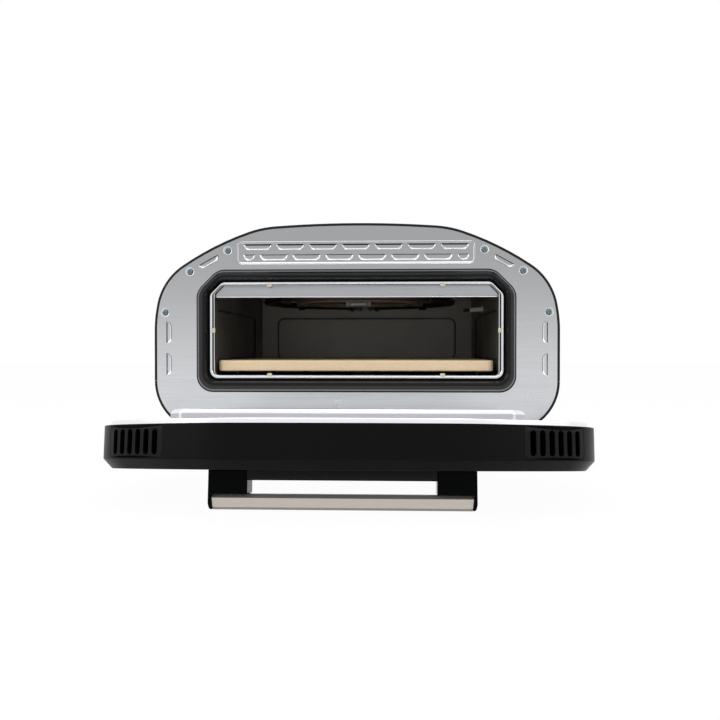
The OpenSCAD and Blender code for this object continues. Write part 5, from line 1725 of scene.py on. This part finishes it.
@dataclass
class ControlPanel:
    """The gloss fascia low on the door with its display and four keys."""

    half: float = 120.0
    z: float = 42.0
    height: float = 34.0
    face: float = -46.3
    depth: float = 3.8
    key_x: tuple[float, ...] = (-92.0, -62.0, 62.0, 92.0)
    key_r: float = 6.0
    key_out: float = 1.4
    display_half: float = 30.0
    display_h: float = 16.0
    corner_r: float = 6.0
    display_r: float = 3.0
    key_gap: float = 0.4

    def outline(self, grow: float) -> Shape:
        """Draw the fascia, moved outwards by grow."""
        reach = self.height / 2.0 + grow
        return panel(self.half + grow, self.z - reach, self.z + reach, self.corner_r + grow, 8)

    def display(self, grow: float) -> Shape:
        """Draw the display's opening, moved outwards by grow."""
        reach = self.display_h / 2.0 + grow
        return panel(self.display_half + grow, self.z - reach, self.z + reach,
                     self.display_r + grow, 6)

    def build(self) -> None:
        """Build the fascia, the lens and the keys."""
        back = self.face + self.depth
        maker = MeshMaker(Space.DOOR)
        holes = [self.display(0.0)] + [disc(x, self.z, self.key_r + self.key_gap)
                                      for x in self.key_x]
        maker.plate(self.outline(0.0), self.face, back, (0.7, 0.3), holes=holes)
        maker.piece("gloss_control_fascia", FASCIA_BLACK, "door", "control_fascia")
        lens = MeshMaker(Space.DOOR)
        lens.plate(self.display(-0.2), self.face + 0.2, back + 1.0, (0.4, 0.1))
        lens.piece("flush_display_lens", LENS_BLACK, "door", "display_lens")
        for x, word in zip(self.key_x, ("power", "light", "minus", "plus")):
            self.build_key(x, word)

    def build_key(self, x: float, word: str) -> None:
        """Build one dished push key with its skirt and stem.

        Args:
            x: Where it sits across the fascia.
            word: The key's job.
        """
        maker = MeshMaker(Space.DOOR)
        top, back, r = self.face - self.key_out, self.face + self.depth + 0.3, self.key_r
        profile = [(0.2, top + 0.5), (2.4, top + 0.4), (4.4, top + 0.12), (5.0, top), (5.5, top),
                   (r - 0.12, top + 0.25), (r, top + 0.6), (r, back), (r + 1.2, back),
                   (r + 1.2, back + 1.0), (2.0, back + 1.0), (2.0, back + 1.15)]
        maker.turning(profile, x, self.z, sides=40)
        maker.piece(f"dished_{word}_key", KEY_GREY, f"{word}_key", f"button_{word}")


@dataclass
class Studio:
    """The plain floor, the soft lamps, the white surround and the camera."""

    lens: float = 41.98
    sensor: float = 36.0
    camera_at: tuple[float, float, float] = (0.04574, -1.029578, 0.14308)
    camera_down: float = 0.7874
    camera_turn: float = 2.4336
    surround: float = 0.62
    floor_size: float = 14.0
    lamp_aim: tuple[float, float, float] = (0.0, -0.05, 0.14)

    def build(self) -> None:
        """Build the whole studio."""
        scene = bpy.context.scene
        scene.view_settings.view_transform = "Standard"
        self.build_camera(scene)
        self.build_world(scene)
        self.build_floor()
        self.lamp("top_softbox", (0.0, -0.1, 1.7), (1.6, 1.4), 16.0)
        self.lamp("left_softbox", (-1.7, -1.1, 1.1), (1.1, 1.3), 14.0)
        self.lamp("right_softbox", (1.8, -0.9, 1.0), (1.0, 1.2), 9.0)

    def build_camera(self, scene: bpy.types.Scene) -> None:
        """Place the camera at the photograph's viewing angle.

        Args:
            scene: The scene it films.
        """
        data = bpy.data.cameras.new("view")
        data.lens, data.sensor_width = self.lens, self.sensor
        camera = bpy.data.objects.new("view", data)
        camera.location = self.camera_at
        camera.rotation_euler = (math.radians(90.0 - self.camera_down), 0.0,
                                 math.radians(self.camera_turn))
        scene.collection.objects.link(camera)
        scene.camera = camera

    def seen_directly(self, wires: Wiring) -> bpy.types.NodeSocket:
        """Find the rays that show the surround itself.

        Args:
            wires: The wiring of the world or floor.

        Returns:
            1 for camera, glossy and transmission rays, else 0.
        """
        path = wires.add("LightPath")
        first = wires.add("Math", {0: path.outputs["Is Camera Ray"],
                                   1: path.outputs["Is Glossy Ray"]}, operation="MAXIMUM")
        both = wires.add("Math", {0: first.outputs[0], 1: path.outputs["Is Transmission Ray"]},
                         operation="MAXIMUM")
        return both.outputs[0]

    def build_world(self, scene: bpy.types.Scene) -> None:
        """Make the surround white where it is seen and plain soft light elsewhere.

        Args:
            scene: The scene that it surrounds.
        """
        world = bpy.data.worlds.new("surround")
        scene.world = world
        world.use_nodes = True
        wires = Wiring(world.node_tree)
        level = wires.add("MapRange", {"Value": self.seen_directly(wires),
                                       "To Min": self.surround, "To Max": 1.0})
        light = wires.add("Background", {"Color": (1.0, 1.0, 1.0, 1.0),
                                         "Strength": level.outputs["Result"]})
        wires.add("OutputWorld", {"Surface": light.outputs["Background"]})

    def build_floor(self) -> None:
        """Lay a plain pale floor that fades into the white surround."""
        mesh = bpy.data.meshes.new("pale_floor")
        reach, cells = self.floor_size / 2.0, 8
        lines = [-reach + 2.0 * reach * k / cells for k in range(cells + 1)]
        mesh.from_pydata([(x, y, 0.0) for y in lines for x in lines], [],
                         [[j * (cells + 1) + i, j * (cells + 1) + i + 1,
                           (j + 1) * (cells + 1) + i + 1, (j + 1) * (cells + 1) + i]
                          for j in range(cells) for i in range(cells)])
        floor = bpy.data.objects.new("pale_floor", mesh)
        bpy.context.scene.collection.objects.link(floor)
        material = bpy.data.materials.new("pale_floor_finish")
        material.use_nodes = True
        wires = Wiring(material.node_tree)
        matt = wires.add("BsdfPrincipled", {"Base Color": (0.93, 0.93, 0.93, 1.0),
                                            "Roughness": 0.9})
        matt.inputs["Specular IOR Level"].default_value = 0.1
        glow = wires.add("Emission", {"Color": (1.0, 1.0, 1.0, 1.0), "Strength": 1.0})
        share = wires.add("MapRange", {"Value": self.seen_directly(wires), "To Max": 0.97})
        mix = wires.add("MixShader", {0: share.outputs["Result"], 1: matt.outputs["BSDF"],
                                      2: glow.outputs["Emission"]})
        wires.add("OutputMaterial", {"Surface": mix.outputs["Shader"]})
        mesh.materials.append(material)

    def lamp(self, name: str, at: tuple[float, float, float], size: tuple[float, float],
             power: float) -> None:
        """Hang one soft lamp that looks at the oven.

        Args:
            name: Name of the lamp.
            at: Where it hangs.
            size: Its width and height.
            power: Its power in watts.
        """
        data = bpy.data.lights.new(name, "AREA")
        data.shape = "RECTANGLE"
        data.size, data.size_y = size
        data.energy = power
        lamp = bpy.data.objects.new(name, data)
        lamp.location = at
        aim = Vector(self.lamp_aim) - Vector(at)
        lamp.rotation_euler = aim.to_track_quat("-Z", "Y").to_euler()
        bpy.context.scene.collection.objects.link(lamp)


def dress_solids() -> None:
    """Give every solid that stays in view its procedural finish."""
    for name, finish in NODE_FINISHES.items():
        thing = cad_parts[name]
        thing.data.materials.clear()
        thing.data.materials.append(finish.material())
        LOG.info("%s: solid dressed as %s", name, finish.slot)


def main() -> None:
    """Build the studio and every piece of the oven."""
    Studio().build()
    dress_solids()
    for part in (Shell(), Face(), MouthTrim(), Cavity(), Door(), Handle(), ControlPanel()):
        LOG.info("building %s", type(part).__name__)
        part.build()


if __name__ == "__main__":
    main()
